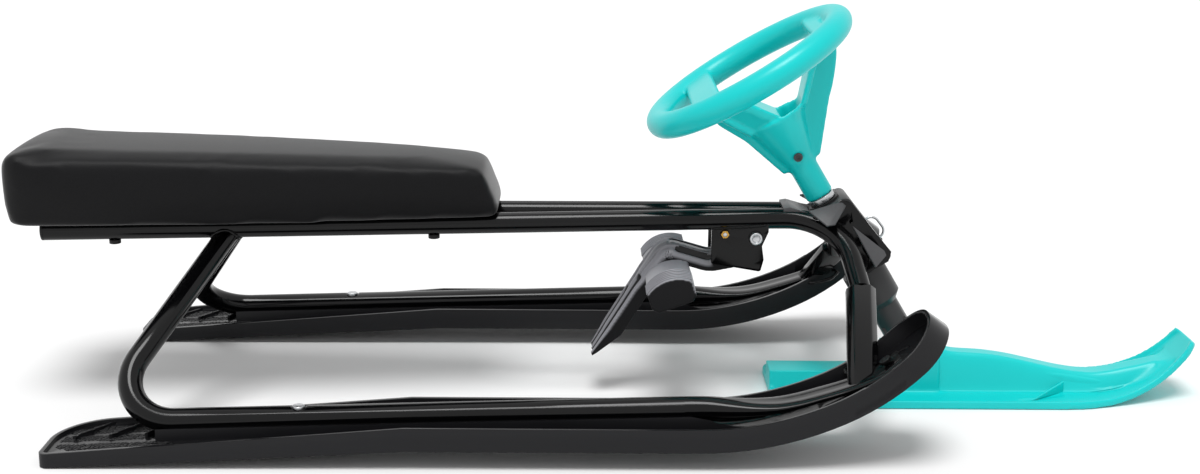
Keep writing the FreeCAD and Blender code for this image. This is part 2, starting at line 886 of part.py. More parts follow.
def strut_section(centre, width, depth, chamfer):
    """Eight corners of the faceted tube, square to its run."""
    run = Vector(strut_run).normalize()
    across = (Vector(1, 0, 0) - run * run.x).normalize()
    up = run.cross(across)
    a, b = width / 2, depth / 2
    places = [(a - chamfer, -b), (a, chamfer - b), (a, b - chamfer), (a - chamfer, b),
              (chamfer - a, b), (-a, b - chamfer), (-a, chamfer - b), (chamfer - a, -b)]
    return [centre + across * p + up * q for p, q in places]


def make_front_strut(grow):
    """The faceted tube, cut off on the pressed rail and closed at the top; grow widens it for cut-outs."""
    run = Vector(strut_run).normalize()
    start = rail_end - run * front_strut_width
    width, depth = front_strut_width + 2 * grow, front_strut_depth + 2 * grow
    points = strut_section(start, width, depth, front_strut_chamfer)
    body = prism(points, [0] * 8, run * (strut_run.Length + 2 * front_strut_width))
    inner = front_strut_width - 2 * front_strut_wall
    inner_depth = front_strut_depth - 2 * front_strut_wall
    inner_chamfer = front_strut_chamfer - front_strut_wall / 2
    hollow = prism(strut_section(start, inner, inner_depth, inner_chamfer), [0] * 8,
                   run * (strut_run.Length + 2 * front_strut_width))
    size = 4 * front_strut_width
    block = half_space(rail_end + strut_mitre * contact_gap, strut_mitre * -1, size)
    cap_block = half_space(rail_end + strut_mitre * front_strut_cap, strut_mitre * -1, size)
    centre, up = flat_normal(front_strut_foot_x)
    foot_height = flat_height / 2 + weld_gap
    ground = half_space(Vector(centre.x, front_strut_foot_y, centre.z) + up * foot_height, up * -1, size)
    body = body.cut(block).cut(ground)
    if grow:
        return body
    return largest(body.cut(hollow.cut(cap_block)))


# Steering head, built about its own axis and then leaned back

head_turn = FreeCAD.Rotation(Vector(0, 1, 0), -head_tilt)
head_place = FreeCAD.Placement(Vector(head_x, 0, head_z), head_turn)


def placed(shape):
    shape.Placement = head_place.multiply(shape.Placement)
    return shape


def head_point(forward, up):
    return head_place.multVec(Vector(forward, 0, up))


def axial(radius, low, high):
    return Part.makeCylinder(radius, high - low, Vector(0, 0, low))


def turned(points):
    """A solid of revolution about the column from (radius, height) points."""
    corners = [Vector(r, 0, z) for r, z in points]
    return Part.Face(outline(corners, [0] * len(corners))).revolve(Vector(0, 0, 0), Vector(0, 0, 1), 360)


def make_head_bracket():
    points = [(bracket_top_back, bracket_top), (bracket_top_reach, bracket_top),
              (bracket_bottom_reach, bracket_bottom), (bracket_bottom_back, bracket_bottom)]
    corners, radii = strip(points, [bracket_bend, bracket_bend], bracket_thickness)
    plate = side_prism(corners, radii, -bracket_half_width, bracket_half_width)
    hole = axial(bush_outer / 2 + contact_gap, bracket_bottom - 1, bracket_top + 1)
    plate = placed(plate.cut(hole)).cut(rail_core).cut(mirrored(rail_core))
    for end in tow_ends():
        plate = plate.cut(end)
    return largest(plate)


def make_head_gusset():
    low_y = bracket_half_width + contact_gap
    points = [(gusset_back, bracket_top),
              (bracket_top_reach - bracket_bend, bracket_top),
              (bracket_top_reach, bracket_top - bracket_bend),
              (bracket_bottom_reach, bracket_bottom + bracket_bend),
              (bracket_bottom_reach - bracket_bend, bracket_bottom),
              (0.0, bracket_bottom)]
    plate = side_prism(points, [0] * len(points), low_y, low_y + gusset_thickness)
    for share in (0.3, 0.75):
        x = bracket_top_reach / 2 + share * bracket_bend
        z = bracket_top + share * (bracket_bottom - bracket_top)
        start, end = Vector(x, low_y - 1, z), Vector(x, low_y + 2 * gusset_thickness, z)
        plate = plate.cut(cylinder(gusset_hole / 2, start, end))
    return largest(placed(plate).cut(rail_core))


def make_column_bush(face, way):
    """A flanged bush; face is the plate's outer face and way points out of the bracket."""
    inner = column_radius + running_gap
    flange = sorted((face + way * contact_gap, face + way * bush_flange_height))
    barrel = sorted((face + way * contact_gap, face - way * bracket_thickness))
    bush = axial(bush_flange / 2, *flange).fuse(axial(bush_outer / 2, *barrel))
    return placed(bush.cut(axial(inner, bracket_bottom * 2, column_top)))


def make_steering_column():
    tube = axial(column_radius, column_bottom, column_top)
    tube = tube.cut(axial(column_radius - column_wall, column_bottom - 1, column_top + 1))
    tube = tube.cut(cross_hole(wheel_bolt_diameter / 2 + bolt_gap, wheel_bolt_height))
    return placed(tube.cut(fore_hole(knuckle_pin_diameter / 2 + bolt_gap, knuckle_pin_height)))


def cross_hole(radius, height):
    return cylinder(radius, Vector(0, -knuckle_collar, height), Vector(0, knuckle_collar, height))


def fore_hole(radius, height):
    return cylinder(radius, Vector(-knuckle_collar, 0, height), Vector(knuckle_collar, 0, height))


def make_column_ring():
    low = bracket_top + bush_flange_height + moving_gap
    ring = axial(ring_outer / 2, low, -contact_gap)
    return placed(ring.cut(axial(column_radius + contact_gap, low - 1, 1)))


# Steering wheel

def hub_radius(height):
    """The outside of the collar and the cone above it."""
    share = max(0.0, (height - hub_collar) / (cup_height - hub_collar))
    return hub_diameter / 2 + share * (cup_radius - hub_diameter / 2)


def make_spoke(way):
    """A wide web from the cup to a flat cross bar in the rim, with a keel below it."""
    inner = cup_radius - cup_wall
    half = spoke_thickness / 2
    start = Vector(way * inner, 0, cup_height - half)
    end = Vector(way * spoke_reach, 0, bar_height)
    run = (end - start).normalize()
    across = Vector(0, 1, 0)
    up = run.cross(across) * way
    round_edge = half - 0.1
    inner_end = rounded_section(start, across, up, 2 * spoke_inner_half, spoke_thickness, round_edge)
    outer_end = rounded_section(end, across, up, 2 * spoke_outer_half, spoke_thickness, round_edge)
    web = Part.makeLoft([inner_end, outer_end], True, True)
    reach = bar_front_reach if way > 0 else bar_rear_reach
    bar_start = Vector(way * reach, -wheel_rim_radius, bar_height)
    bar_round = bar_thickness / 2 - 0.1
    ahead, upright = Vector(1, 0, 0), Vector(0, 0, 1)
    bar_end = rounded_section(bar_start, ahead, upright, bar_width, bar_thickness, bar_round)
    bar = Part.Face(bar_end).extrude(across * (2 * wheel_rim_radius))
    bar = bar.common(axial(wheel_rim_radius - wheel_rim_tube / 4, 0.0, wheel_rim_height + wheel_rim_tube))
    climb = wheel_rim_height - keel_foot
    waist_height = keel_foot + keel_waist_share * climb
    if way > 0:
        foot = [(keel_front_waist, waist_height), (keel_front_end, keel_foot + keel_front_share * climb),
                (wheel_rim_radius - 0.3 * wheel_rim_tube, wheel_rim_height - 0.35 * wheel_rim_tube)]
    else:
        foot = [(keel_rear_waist, waist_height), (keel_rear_end, keel_foot + keel_rear_share * climb),
                (bar_rear_reach + 0.45 * bar_width, bar_height)]
    edge = [(hub_diameter / 3, keel_foot), (keel_toe, keel_foot)] + foot
    edge += [(spoke_reach, bar_height), (inner, cup_height - half), (hub_diameter / 3, cup_floor)]
    keel_points = [(way * forward, up_column) for forward, up_column in edge]
    keel = side_prism(keel_points, [0] * len(edge), -keel_thickness / 2, keel_thickness / 2)
    return web.fuse(bar).fuse(keel)


def make_steering_wheel():
    rim = Part.makeTorus(wheel_rim_radius, wheel_rim_tube / 2, Vector(0, 0, wheel_rim_height))
    bore = column_radius + contact_gap
    outer = [(0.0, 0.0), (hub_diameter / 2, 0.0), (hub_diameter / 2, hub_collar),
             (cup_radius, cup_height), (0.0, cup_height)]
    slope = (cup_radius - hub_diameter / 2) / (cup_height - hub_collar)
    cup_low = hub_radius(cup_floor) - cup_wall
    cup = [(0.0, cup_floor), (cup_low, cup_floor),
           (cup_radius - cup_wall + slope * cup_wall, cup_height + cup_wall), (0.0, cup_height + cup_wall)]
    body = turned(outer).fuse(make_spoke(1)).fuse(make_spoke(-1)).fuse(rim)
    body = body.cut(turned(cup)).cut(axial(bore, -1.0, column_top + contact_gap))
    body = body.cut(cross_hole(wheel_bolt_diameter / 2 + bolt_gap, wheel_bolt_height))
    seat = hub_radius(wheel_bolt_height) - wheel_bolt_sink
    for way in (-1, 1):
        start = Vector(0, way * seat, wheel_bolt_height)
        end = start + Vector(0, way * cup_radius, 0)
        body = body.cut(cylinder(wheel_bolt_head / 2 + 2 * bolt_gap, start, end))
    return placed(body)


def make_wheel_bolt():
    seat = hub_radius(wheel_bolt_height) - wheel_bolt_sink + contact_gap

    def at(y):
        return Vector(0, y, wheel_bolt_height)

    head = cylinder(wheel_bolt_head / 2, at(-seat - wheel_bolt_sink), at(-seat))
    shank = cylinder(wheel_bolt_diameter / 2, at(-seat), at(seat))
    face = -seat - wheel_bolt_sink
    socket = hex_prism(wheel_bolt_diameter * 0.7, at(face - 1), at(face + wheel_bolt_sink * 2 / 3))
    return placed(head.fuse(shank).cut(socket))


def make_wheel_nut():
    seat = hub_radius(wheel_bolt_height) - wheel_bolt_sink + contact_gap
    nut = hex_prism(wheel_bolt_head * 0.9, Vector(0, seat, wheel_bolt_height),
                    Vector(0, seat + wheel_bolt_sink, wheel_bolt_height))
    return placed(nut.cut(cross_hole(wheel_bolt_diameter / 2 + contact_gap, wheel_bolt_height)))


# Knuckle

def make_ski_knuckle():
    top = bracket_bottom - bush_flange_height - moving_gap
    collar, socket = knuckle_collar / 2, knuckle_socket / 2
    body = turned([(0.0, top), (collar, top), (collar, knuckle_collar_end), (socket, knuckle_cone_end),
                   (socket, knuckle_socket_end), (0.0, knuckle_socket_end)])
    half = tongue_width / 2
    root = knuckle_socket_end + half
    tongue_points = [(-tongue_radius, pivot_height), (tongue_radius, pivot_height),
                     (tongue_radius, root), (-tongue_radius, root)]
    tongue = side_prism(tongue_points, [0] * 4, -half, half)
    eye = cylinder(tongue_radius, Vector(0, -half, pivot_height), Vector(0, half, pivot_height))
    body = body.fuse(tongue).fuse(eye)
    body = body.cut(axial(column_radius + contact_gap, column_bottom - contact_gap, top + 1))
    body = body.cut(fore_hole(knuckle_pin_diameter / 2 + contact_gap, knuckle_pin_height))
    return placed(body.cut(cross_hole(pivot_bolt_diameter / 2 + running_gap, pivot_height)))


def make_knuckle_pin():
    reach = knuckle_collar / 2
    return placed(cylinder(knuckle_pin_diameter / 2, Vector(-reach, 0, knuckle_pin_height),
                           Vector(reach, 0, knuckle_pin_height)))


# Steering ski, a plate with a hollow ridge and a box round the pivot

ski_pivot = head_point(0, pivot_height)


def ski_plate_profile(thickness):
    """Points and arcs of the plate's side view: flat, then one arc up to the tip."""
    centre_z = ski_upturn_radius
    sweep = math.degrees(math.asin((ski_tip_x - ski_upturn_x) / ski_upturn_radius))
    y = -ski_half_width

    def at(rise, degrees):
        x, z = arc_point(ski_upturn_x, centre_z, ski_upturn_radius - rise, degrees)
        return Vector(x, y, z)

    rear_low = Vector(ski_rear_x, y, 0)
    rear_top = Vector(ski_rear_x, y, thickness)
    return Part.Wire([
        Part.LineSegment(rear_low, at(0, 0)).toShape(),
        Part.Arc(at(0, 0), at(0, sweep / 2), at(0, sweep)).toShape(),
        Part.LineSegment(at(0, sweep), at(thickness, sweep)).toShape(),
        Part.Arc(at(thickness, sweep), at(thickness, sweep / 2), at(thickness, 0)).toShape(),
        Part.LineSegment(at(thickness, 0), rear_top).toShape(),
        Part.LineSegment(rear_top, rear_low).toShape()])


def ski_plan(inset):
    half = ski_half_width - inset
    tip = ski_tip_half - inset
    front = ski_tip_x + 1 - inset
    corners = [(ski_rear_x + inset, -half), (ski_taper_x, -half), (front, -tip),
               (front, tip), (ski_taper_x, half), (ski_rear_x + inset, half)]
    bend = (ski_tip_x - ski_taper_x) * 0.9
    radii = [ski_rear_corner, bend, ski_tip_corner, ski_tip_corner, bend, ski_rear_corner]
    return plan_prism(corners, radii, -1.0, beyond)


def hump_prism(inset):
    """The ridge: its side view, narrowed towards the top by a trapezium along the ski."""
    rise = ski_pivot.z + box_cover - 1.0 - inset
    points = [(ski_rear_x + inset, 0.0), (ski_rear_x + inset, hump_low_height - inset),
              (ski_pivot.x - 2 * box_half_length, hump_low_height - inset),
              (ski_pivot.x - box_half_length, rise), (ski_pivot.x + box_half_length, rise),
              (hump_front_x, hump_front_height - inset), (hump_end_x, hump_end_height - inset),
              (hump_end_x, 0.0)]
    side = side_prism(points, [0] * len(points), -ski_half_width, ski_half_width)
    base, top = hump_base_half - inset, hump_top_half - inset
    corners = [Vector(ski_rear_x - 1, y, z) for y, z in
               ((-base, 0.0), (base, 0.0), (top, rise), (-top, rise))]
    return side.common(prism(corners, [0] * 4, Vector(ski_tip_x - ski_rear_x, 0, 0)))


def make_front_ski():
    plate = Part.Face(ski_plate_profile(ski_thickness)).extrude(Vector(0, 2 * ski_half_width, 0))
    lip = Part.Face(ski_plate_profile(ski_thickness + edge_lip)).extrude(Vector(0, 2 * ski_half_width, 0))
    lip = lip.common(ski_plan(0.0)).cut(ski_plan(edge_lip_width))
    across = Vector(0, 2 * ski_half_width, 0)
    ridge_room = Part.Face(ski_plate_profile(ski_upturn_radius * 0.9)).extrude(across)
    ridge = hump_prism(0.0).common(ridge_room)
    top = ski_pivot.z + box_cover
    box_corner = Vector(ski_pivot.x - box_half_length, -box_half_width, 0)
    box = Part.makeBox(2 * box_half_length, 2 * box_half_width, top, box_corner)
    ski = plate.common(ski_plan(0.0)).fuse(lip).fuse(ridge).fuse(box)
    ski = ski.cut(hump_prism(hump_shell).cut(box))
    half = tongue_width / 2 + moving_gap
    deep = tongue_radius + slot_floor_gap
    slot_corner = Vector(ski_pivot.x - slot_half_length, -half, ski_pivot.z)
    slot = Part.makeBox(2 * slot_half_length, 2 * half, top, slot_corner)
    across = Vector(0, half, 0)
    well = cylinder(slot_half_length, ski_pivot - across, ski_pivot + across)
    well_corner = Vector(ski_pivot.x - 2 * deep, -half, ski_pivot.z - deep)
    well = well.common(Part.makeBox(4 * deep, 2 * half, 2 * deep, well_corner))
    ski = ski.cut(slot).cut(well)
    reach = Vector(0, 2 * box_half_width, 0)
    hole = cylinder(pivot_bolt_diameter / 2 + bolt_gap, ski_pivot - reach, ski_pivot + reach)
    return largest(ski.cut(hole))


def make_ski_pivot_bolt():
    side = box_half_width + contact_gap
    seat = ski_pivot - Vector(0, side, 0)
    head = cylinder(pivot_head / 2, seat - Vector(0, pivot_head_height, 0), seat)
    return head.fuse(cylinder(pivot_bolt_diameter / 2, seat, ski_pivot + Vector(0, side + pivot_tail, 0)))


def make_ski_pivot_nut():
    side = box_half_width + contact_gap
    low = ski_pivot + Vector(0, side, 0)
    high = low + Vector(0, pivot_nut_height, 0)
    nut = hex_prism(pivot_head, low, high)
    return nut.cut(cylinder(pivot_bolt_diameter / 2 + contact_gap, low, high))


# Brake

brake_outer = brake_half_inside + bracket_plate
pivot_low = Vector(pivot_x, -brake_outer, pivot_z)
pivot_high = Vector(pivot_x, brake_outer, pivot_z)
stop_low = Vector(stop_x, -brake_outer, stop_z)
stop_high = Vector(stop_x, brake_outer, stop_z)


def make_brake_bracket():
    toe_x = brake_front_x - brake_toe
    nose_x = brake_front_x + brake_nose
    plate_points = [(brake_rear_x, brake_low_rear_z), (toe_x, brake_low_front_z),
                    (brake_front_x, brake_low_front_z + brake_step_height),
                    (brake_front_x - brake_waist, pivot_z - brake_waist_drop),
                    (nose_x, pivot_z + brake_nose_rise), (nose_x, rail_z(brake_front_x)),
                    (brake_rear_x, rail_z(brake_rear_x))]
    radii = [brake_corner] * 5 + [0, 0]
    plates = [side_prism(plate_points, radii, brake_half_inside, brake_outer),
              side_prism(plate_points, radii, -brake_outer, -brake_half_inside)]
    slope = (brake_low_front_z - brake_low_rear_z) / (toe_x - brake_rear_x)
    web_end_x = brake_front_x - brake_web_inset
    web_low = [(x, brake_low_rear_z + slope * (x - brake_rear_x)) for x in (brake_web_x, web_end_x)]
    web_top = [(x, z + bracket_plate) for x, z in reversed(web_low)]
    web = side_prism(web_low + web_top, [0] * 4, -brake_outer, brake_outer)
    bracket = plates[0].fuse(plates[1]).fuse(web)
    bracket = bracket.cut(rail_core).cut(mirrored(rail_core))
    reach = Vector(0, brake_outer, 0)
    pivot_hole = cylinder(brake_bolt_diameter / 2 + bolt_gap, pivot_low - reach, pivot_high + reach)
    stop_hole = cylinder(stop_diameter / 2 + bolt_gap, stop_low - reach, stop_high + reach)
    return largest(bracket.cut(pivot_hole).cut(stop_hole))


def make_brake_pivot_bolt():
    gap = Vector(0, contact_gap, 0)
    head = cylinder(brake_bolt_head / 2, pivot_low - Vector(0, brake_bolt_head_height, 0), pivot_low - gap)
    end = pivot_high + Vector(0, brake_bolt_tail, 0)
    return head.fuse(cylinder(brake_bolt_diameter / 2, pivot_low - gap, end))


def make_brake_pivot_nut():
    low = pivot_high + Vector(0, contact_gap, 0)
    high = low + Vector(0, brake_nut_height, 0)
    bore = cylinder(brake_bolt_diameter / 2 + contact_gap, low, high)
    return hex_prism(brake_bolt_head, low, high).cut(bore)


def make_brake_stop_bolt():
    gap = Vector(0, contact_gap, 0)
    head = cylinder(stop_head / 2, stop_high + gap, stop_high + Vector(0, stop_head_height, 0))
    return head.fuse(cylinder(stop_diameter / 2, stop_low - Vector(0, stop_tail, 0), stop_high + gap))


def make_brake_stop_nut():
    low = stop_low - Vector(0, contact_gap, 0)
    high = low - Vector(0, stop_nut_height, 0)
    return hex_prism(stop_head, low, high).cut(cylinder(stop_diameter / 2 + contact_gap, low, high))


lever_line = [(lever_front_x, lever_front_z), (lever_knee_x, lever_knee_z),
              (lever_bend_x, lever_bend_z), (lever_shin_x, lever_shin_z), (lever_tip_x, lever_tip_z)]


def lever_band(line, radii, depth, low_y, high_y):
    """A band on the underside of the lever's top line."""
    points, corners = strip(list(reversed(line)), list(reversed(radii)), depth)
    return side_prism(points, corners, low_y, high_y)


def make_brake_lever():
    radii = [lever_knee_radius, lever_bend_radius, lever_shin_radius]
    outer = lever_band(lever_line, radii, lever_depth, -lever_half_width, lever_half_width)
    inside = lever_half_width - lever_wall
    top_line, top_radii = strip(list(reversed(lever_line)), list(reversed(radii)), lever_wall)
    count = len(lever_line)
    low_line = list(top_line[count:])
    low_radii = [r for r in top_radii[count:] if r]
    hollow = lever_band(low_line, low_radii, 2 * lever_depth, -inside, inside)
    lever = outer.cut(hollow)
    for way in (-1, 1):
        raised, raised_radii = strip(list(lever_line), radii, rib_crest)
        crest = list(reversed(raised[count:]))
        crest_radii = list(reversed([r for r in raised_radii[count:] if r]))
        ridge_low = way * rib_offset - rib_base / 2
        lever = lever.fuse(lever_band(crest, crest_radii, 1.2 * rib_crest, ridge_low, ridge_low + rib_base))
        cheek_low, cheek_high = sorted((way * inside, way * lever_half_width))
        eye = lever_bush_outer / 2 + lever_eye_wall
        cheek_x = lever_knee_x + cheek_step
        cheek_points = [(pivot_x + eye, pivot_z - eye / 2), (pivot_x + eye, pivot_z + eye / 2),
                        (pivot_x + eye / 2, pivot_z + eye * 0.9), (pivot_x - eye, pivot_z + eye * 0.9),
                        (stop_x, stop_z - stop_diameter / 2 - moving_gap),
                        (cheek_x, lever_knee_z + cheek_lap), (cheek_x, lever_knee_z - cheek_lap),
                        (lever_front_x, lever_front_z - lever_depth / 2)]
        lever = lever.fuse(side_prism(cheek_points, [0] * len(cheek_points), cheek_low, cheek_high))
        claw = lever_half_width - claw_width / 2
        lever = lever.fuse(lever_claw(way * claw - claw_width / 2, way * claw + claw_width / 2))
    reach = Vector(0, lever_half_width, 0)
    lever = lever.cut(cylinder(lever_bush_outer / 2 + contact_gap, pivot_low - reach, pivot_high + reach))
    hook = spring_hook()
    hook_end = Vector(hook.x, -lever_wall, hook.z)
    lever = lever.cut(cylinder(spring_wire / 2 + bolt_gap, hook - reach, hook_end))
    for x, z in peg_screw_places():
        centre = Vector(x, 0, z)
        hole = cylinder(peg_screw_diameter / 2 + bolt_gap, centre - reach * 2, centre + reach * 2)
        lever = lever.cut(hole)
    return largest(lever)


def lever_claw(low_y, high_y):
    """A tooth that carries on past the lever's tip."""
    run = Vector(lever_tip_x - lever_shin_x, 0, lever_tip_z - lever_shin_z).normalize()
    inward = Vector(-run.z, 0, run.x)
    tip = Vector(lever_tip_x, 0, lever_tip_z)
    points = [tip - run * claw_root, tip + run * claw_point,
              tip + run * claw_depth / 3 + inward * lever_depth / 2,
              tip + inward * lever_depth, tip - run * claw_root + inward * lever_depth]
    return side_prism([(p.x, p.z) for p in points], [0] * 5, low_y, high_y)


def make_lever_bush():
    inner = brake_bolt_diameter / 2 + running_gap
    end = Vector(0, brake_half_inside - moving_gap, 0)
    centre = Vector(pivot_x, 0, pivot_z)
    bore = cylinder(inner, centre - end, centre + end)
    return cylinder(lever_bush_outer / 2, centre - end, centre + end).cut(bore)


def peg_frame():
    turn = math.radians(peg_tilt)
    return Vector(math.cos(turn), 0, math.sin(turn)), Vector(-math.sin(turn), 0, math.cos(turn))


def peg_screw_places():
    along, _ = peg_frame()
    places = []
    for way in (-1, 1):
        spot = Vector(peg_x, 0, peg_z) + along * (way * peg_screw_diameter)
        places.append((spot.x, spot.z))
    return places


def make_foot_peg():
    along, up = peg_frame()
    centre = Vector(peg_x, lever_half_width + contact_gap, peg_z)
    half = peg_length / 2
    low = -peg_height / 2
    shoulder = peg_height / 2 - peg_crown
    corner = peg_corner

    def at(a, b):
        return centre + along * a + up * b

    wire = Part.Wire([
        Part.LineSegment(at(-half, shoulder), at(-half, low + corner)).toShape(),
        Part.LineSegment(at(-half, low + corner), at(corner - half, low)).toShape(),
        Part.LineSegment(at(corner - half, low), at(half - corner, low)).toShape(),
        Part.LineSegment(at(half - corner, low), at(half, low + corner)).toShape(),
        Part.LineSegment(at(half, low + corner), at(half, shoulder)).toShape(),
        Part.Arc(at(half, shoulder), at(0, shoulder + peg_crown), at(-half, shoulder)).toShape()])
    peg = Part.Face(wire).extrude(Vector(0, peg_reach, 0))
    for x, z in peg_screw_places():
        end = Vector(x, lever_half_width + peg_reach / 2, z)
        peg = peg.cut(cylinder(peg_screw_diameter / 2 + contact_gap, Vector(x, 0, z), end))
    return peg


def make_peg_screws():
    inside = lever_half_width - lever_wall - contact_gap
    screws = []
    for x, z in peg_screw_places():
        seat = Vector(x, inside, z)
        head = cylinder(peg_screw_head / 2, seat - Vector(0, peg_screw_head_height, 0), seat)
        end = Vector(x, lever_half_width + peg_reach / 2 - 1, z)
        screws.append(head.fuse(cylinder(peg_screw_diameter / 2, seat, end)))
    return both_sides(screws)


# Brake return spring

def half_arc(start, heading, end):
    """An arc that leaves start along heading and ends at end."""
    chord = end - start
    toward = Vector(chord).normalize()
    angle = heading.getAngle(toward)
    middle = start + (heading + toward).normalize() * (chord.Length / (2 * math.cos(angle / 2)))
    return Part.Arc(start, middle, end).toShape()


def biarc(start, heading, end, leaving):
    """Two tangent arcs between two points with given headings."""
    span = end - start
    a = 2 * (1 - heading.dot(leaving))
    b = 2 * span.dot(heading + leaving)
    c = -span.dot(span)
    reach = (-b + math.sqrt(b * b - 4 * a * c)) / (2 * a)
    joint = (start + end + (heading - leaving) * reach) * 0.5
    first = half_arc(start, heading, joint)
    second = half_arc(end, leaving * -1, joint)
    return first, second


def coil_point(turn):
    """A place on the coil, which starts behind the pivot and climbs along Y."""
    angle = 2 * math.pi * turn
    climb = spring_pitch * (turn - coil_turns() / 2)
    return Vector(pivot_x - spring_radius * math.cos(angle), climb, pivot_z - spring_radius * math.sin(angle))


def coil_heading(turn):
    angle = 2 * math.pi * turn
    return Vector(spring_radius * math.sin(angle), spring_pitch / (2 * math.pi),
                  -spring_radius * math.cos(angle)).normalize()


def coil_turns():
    return spring_turns + 0.5


def spring_hook():
    """The end of the rear leg, in a hole of the lever's cheek."""
    corner = coil_point(0) - coil_heading(0) * spring_leg_bend
    return Vector(corner.x, -lever_half_width, corner.z)


def make_brake_spring():
    steps = int(coil_turns() * 4)
    start = coil_point(0)
    hook = spring_hook()
    corner = coil_point(0) - coil_heading(0) * spring_leg_bend
    first, middle, second = corner_arc(hook, corner, start, spring_leg_bend * 0.9)
    first_heading = first - hook
    edges = [Part.LineSegment(hook, first).toShape(), Part.Arc(first, middle, second).toShape(),
             Part.LineSegment(second, start).toShape()]
    for i in range(steps):
        here, there = i / 4, (i + 1) / 4
        edges.extend(biarc(coil_point(here), coil_heading(here), coil_point(there), coil_heading(there)))
    last = coil_point(coil_turns())
    corner = last + coil_heading(coil_turns()) * spring_leg_bend
    end = Vector(spring_leg_x, corner.y, corner.z)
    first, middle, second = corner_arc(last, corner, end, spring_leg_bend * 0.9)
    edges.append(Part.LineSegment(last, first).toShape())
    edges.append(Part.Arc(first, middle, second).toShape())
    edges.append(Part.LineSegment(second, end).toShape())
    path = Part.Wire(edges)
    ring = Part.Wire([Part.Circle(hook, first_heading, spring_wire / 2).toShape()])
    spring = path.makePipeShell([ring], True, False)
    print("spring gap between turns", round(coil_gap(), 2), "mm")
    return spring


def coil_gap():
    """The least distance between the surfaces of turns one or more apart."""
    samples = [coil_point(i / 24) for i in range(int(24 * coil_turns()) + 1)]
    distances = [p.distanceToPoint(q) for i, p in enumerate(samples) for q in samples[i + 16:]]
    return min(distances) - spring_wire


# Tow loop on the bracket's front

def tow_wire_points():
    run = Vector(bracket_bottom_reach - bracket_top_reach, 0, bracket_bottom - bracket_top).normalize()
    out = Vector(-run.z, 0, run.x)
    share = (tow_height - bracket_top) / (bracket_bottom - bracket_top)
    foot = Vector(bracket_top_reach + share * (bracket_bottom_reach - bracket_top_reach), 0, tow_height)
    back = out * (bracket_thickness + tow_root)
    upper, lower = foot - run * (tow_span / 2), foot + run * (tow_span / 2)
    return [upper - back, upper + out * tow_reach, lower + out * tow_reach, lower - back]


def make_tow_loop():
    bend = min(tow_reach, tow_span / 2) * 0.9
    return placed(rod(tow_wire_points(), [bend, bend], tow_wire / 2))


def tow_ends():
    """Holes for the loop's two ends in the bracket's front."""
    points = tow_wire_points()
    radius = tow_wire / 2 + contact_gap
    return [placed(cylinder(radius, points[0], points[1])), placed(cylinder(radius, points[3], points[2]))]


def main():
    lower_core = make_lower_core()
    front_strut = make_front_strut(0.0)
    strut_room = make_front_strut(moving_gap)
    top_rail = make_top_rail()
    lower_rail = make_lower_rail(lower_core)
    runner = make_runner(lower_core, strut_room)
    runner_right = runner.copy()
    runner_right.translate(Vector(0, -2 * lower_y, 0))
    gusset = make_head_gusset()
    peg = make_foot_peg()
    parts = {
        "top_rail_left": top_rail,
        "top_rail_right": mirrored(top_rail),
        "rail_tie_plate": make_tie_plate(),
        "rail_end_plugs": both_sides([make_rail_plug()]),
        "lower_rail_left": lower_rail,
        "lower_rail_right": mirrored(lower_rail),
        "front_strut_left": front_strut,
        "front_strut_right": mirrored(front_strut),
        "runner_left": runner,
        "runner_right": runner_right,
        "runner_bolts": make_runner_bolts(),
        "runner_nuts": make_runner_nuts(),
        "seat_board": make_seat_board(),
        "seat_cushion": make_seat_cushion(),
        "seat_bolts": make_seat_bolts(),
        "seat_tee_nuts": make_seat_tee_nuts(),
        "head_bracket": make_head_bracket(),
        "head_gusset_left": gusset,
        "head_gusset_right": mirrored(gusset),
        "column_bush_upper": make_column_bush(bracket_top, 1),
        "column_bush_lower": make_column_bush(bracket_bottom, -1),
        "tow_loop": make_tow_loop(),
        "steering_column": make_steering_column(),
        "column_ring": make_column_ring(),
        "steering_wheel": make_steering_wheel(),
        "wheel_bolt": make_wheel_bolt(),
        "wheel_nut": make_wheel_nut(),
        "ski_knuckle": make_ski_knuckle(),
        "knuckle_pin": make_knuckle_pin(),
        "front_ski": make_front_ski(),
        "ski_pivot_bolt": make_ski_pivot_bolt(),
        "ski_pivot_nut": make_ski_pivot_nut(),
        "brake_bracket": make_brake_bracket(),
        "brake_pivot_bolt": make_brake_pivot_bolt(),
        "brake_pivot_nut": make_brake_pivot_nut(),
        "brake_stop_bolt": make_brake_stop_bolt(),
        "brake_stop_nut": make_brake_stop_nut(),
        "brake_lever": make_brake_lever(),
        "lever_bush": make_lever_bush(),
        "foot_peg_left": peg,
        "foot_peg_right": mirrored(peg),
        "peg_screws": make_peg_screws(),
        "brake_spring": make_brake_spring(),
    }
    os.makedirs("parts", exist_ok=True)
    for name, shape in parts.items():
        shape.exportStep("parts/" + name + ".step")
        box = shape.BoundBox
        print(f"{name:20s} solids {len(shape.Solids)} valid {shape.isValid()} {shape.Volume / 1000:9.2f} cm3",
              f"x {box.XMin:7.1f} {box.XMax:7.1f} y {box.YMin:7.1f} {box.YMax:7.1f}",
              f"z {box.ZMin:7.1f} {box.ZMax:7.1f}")


main()
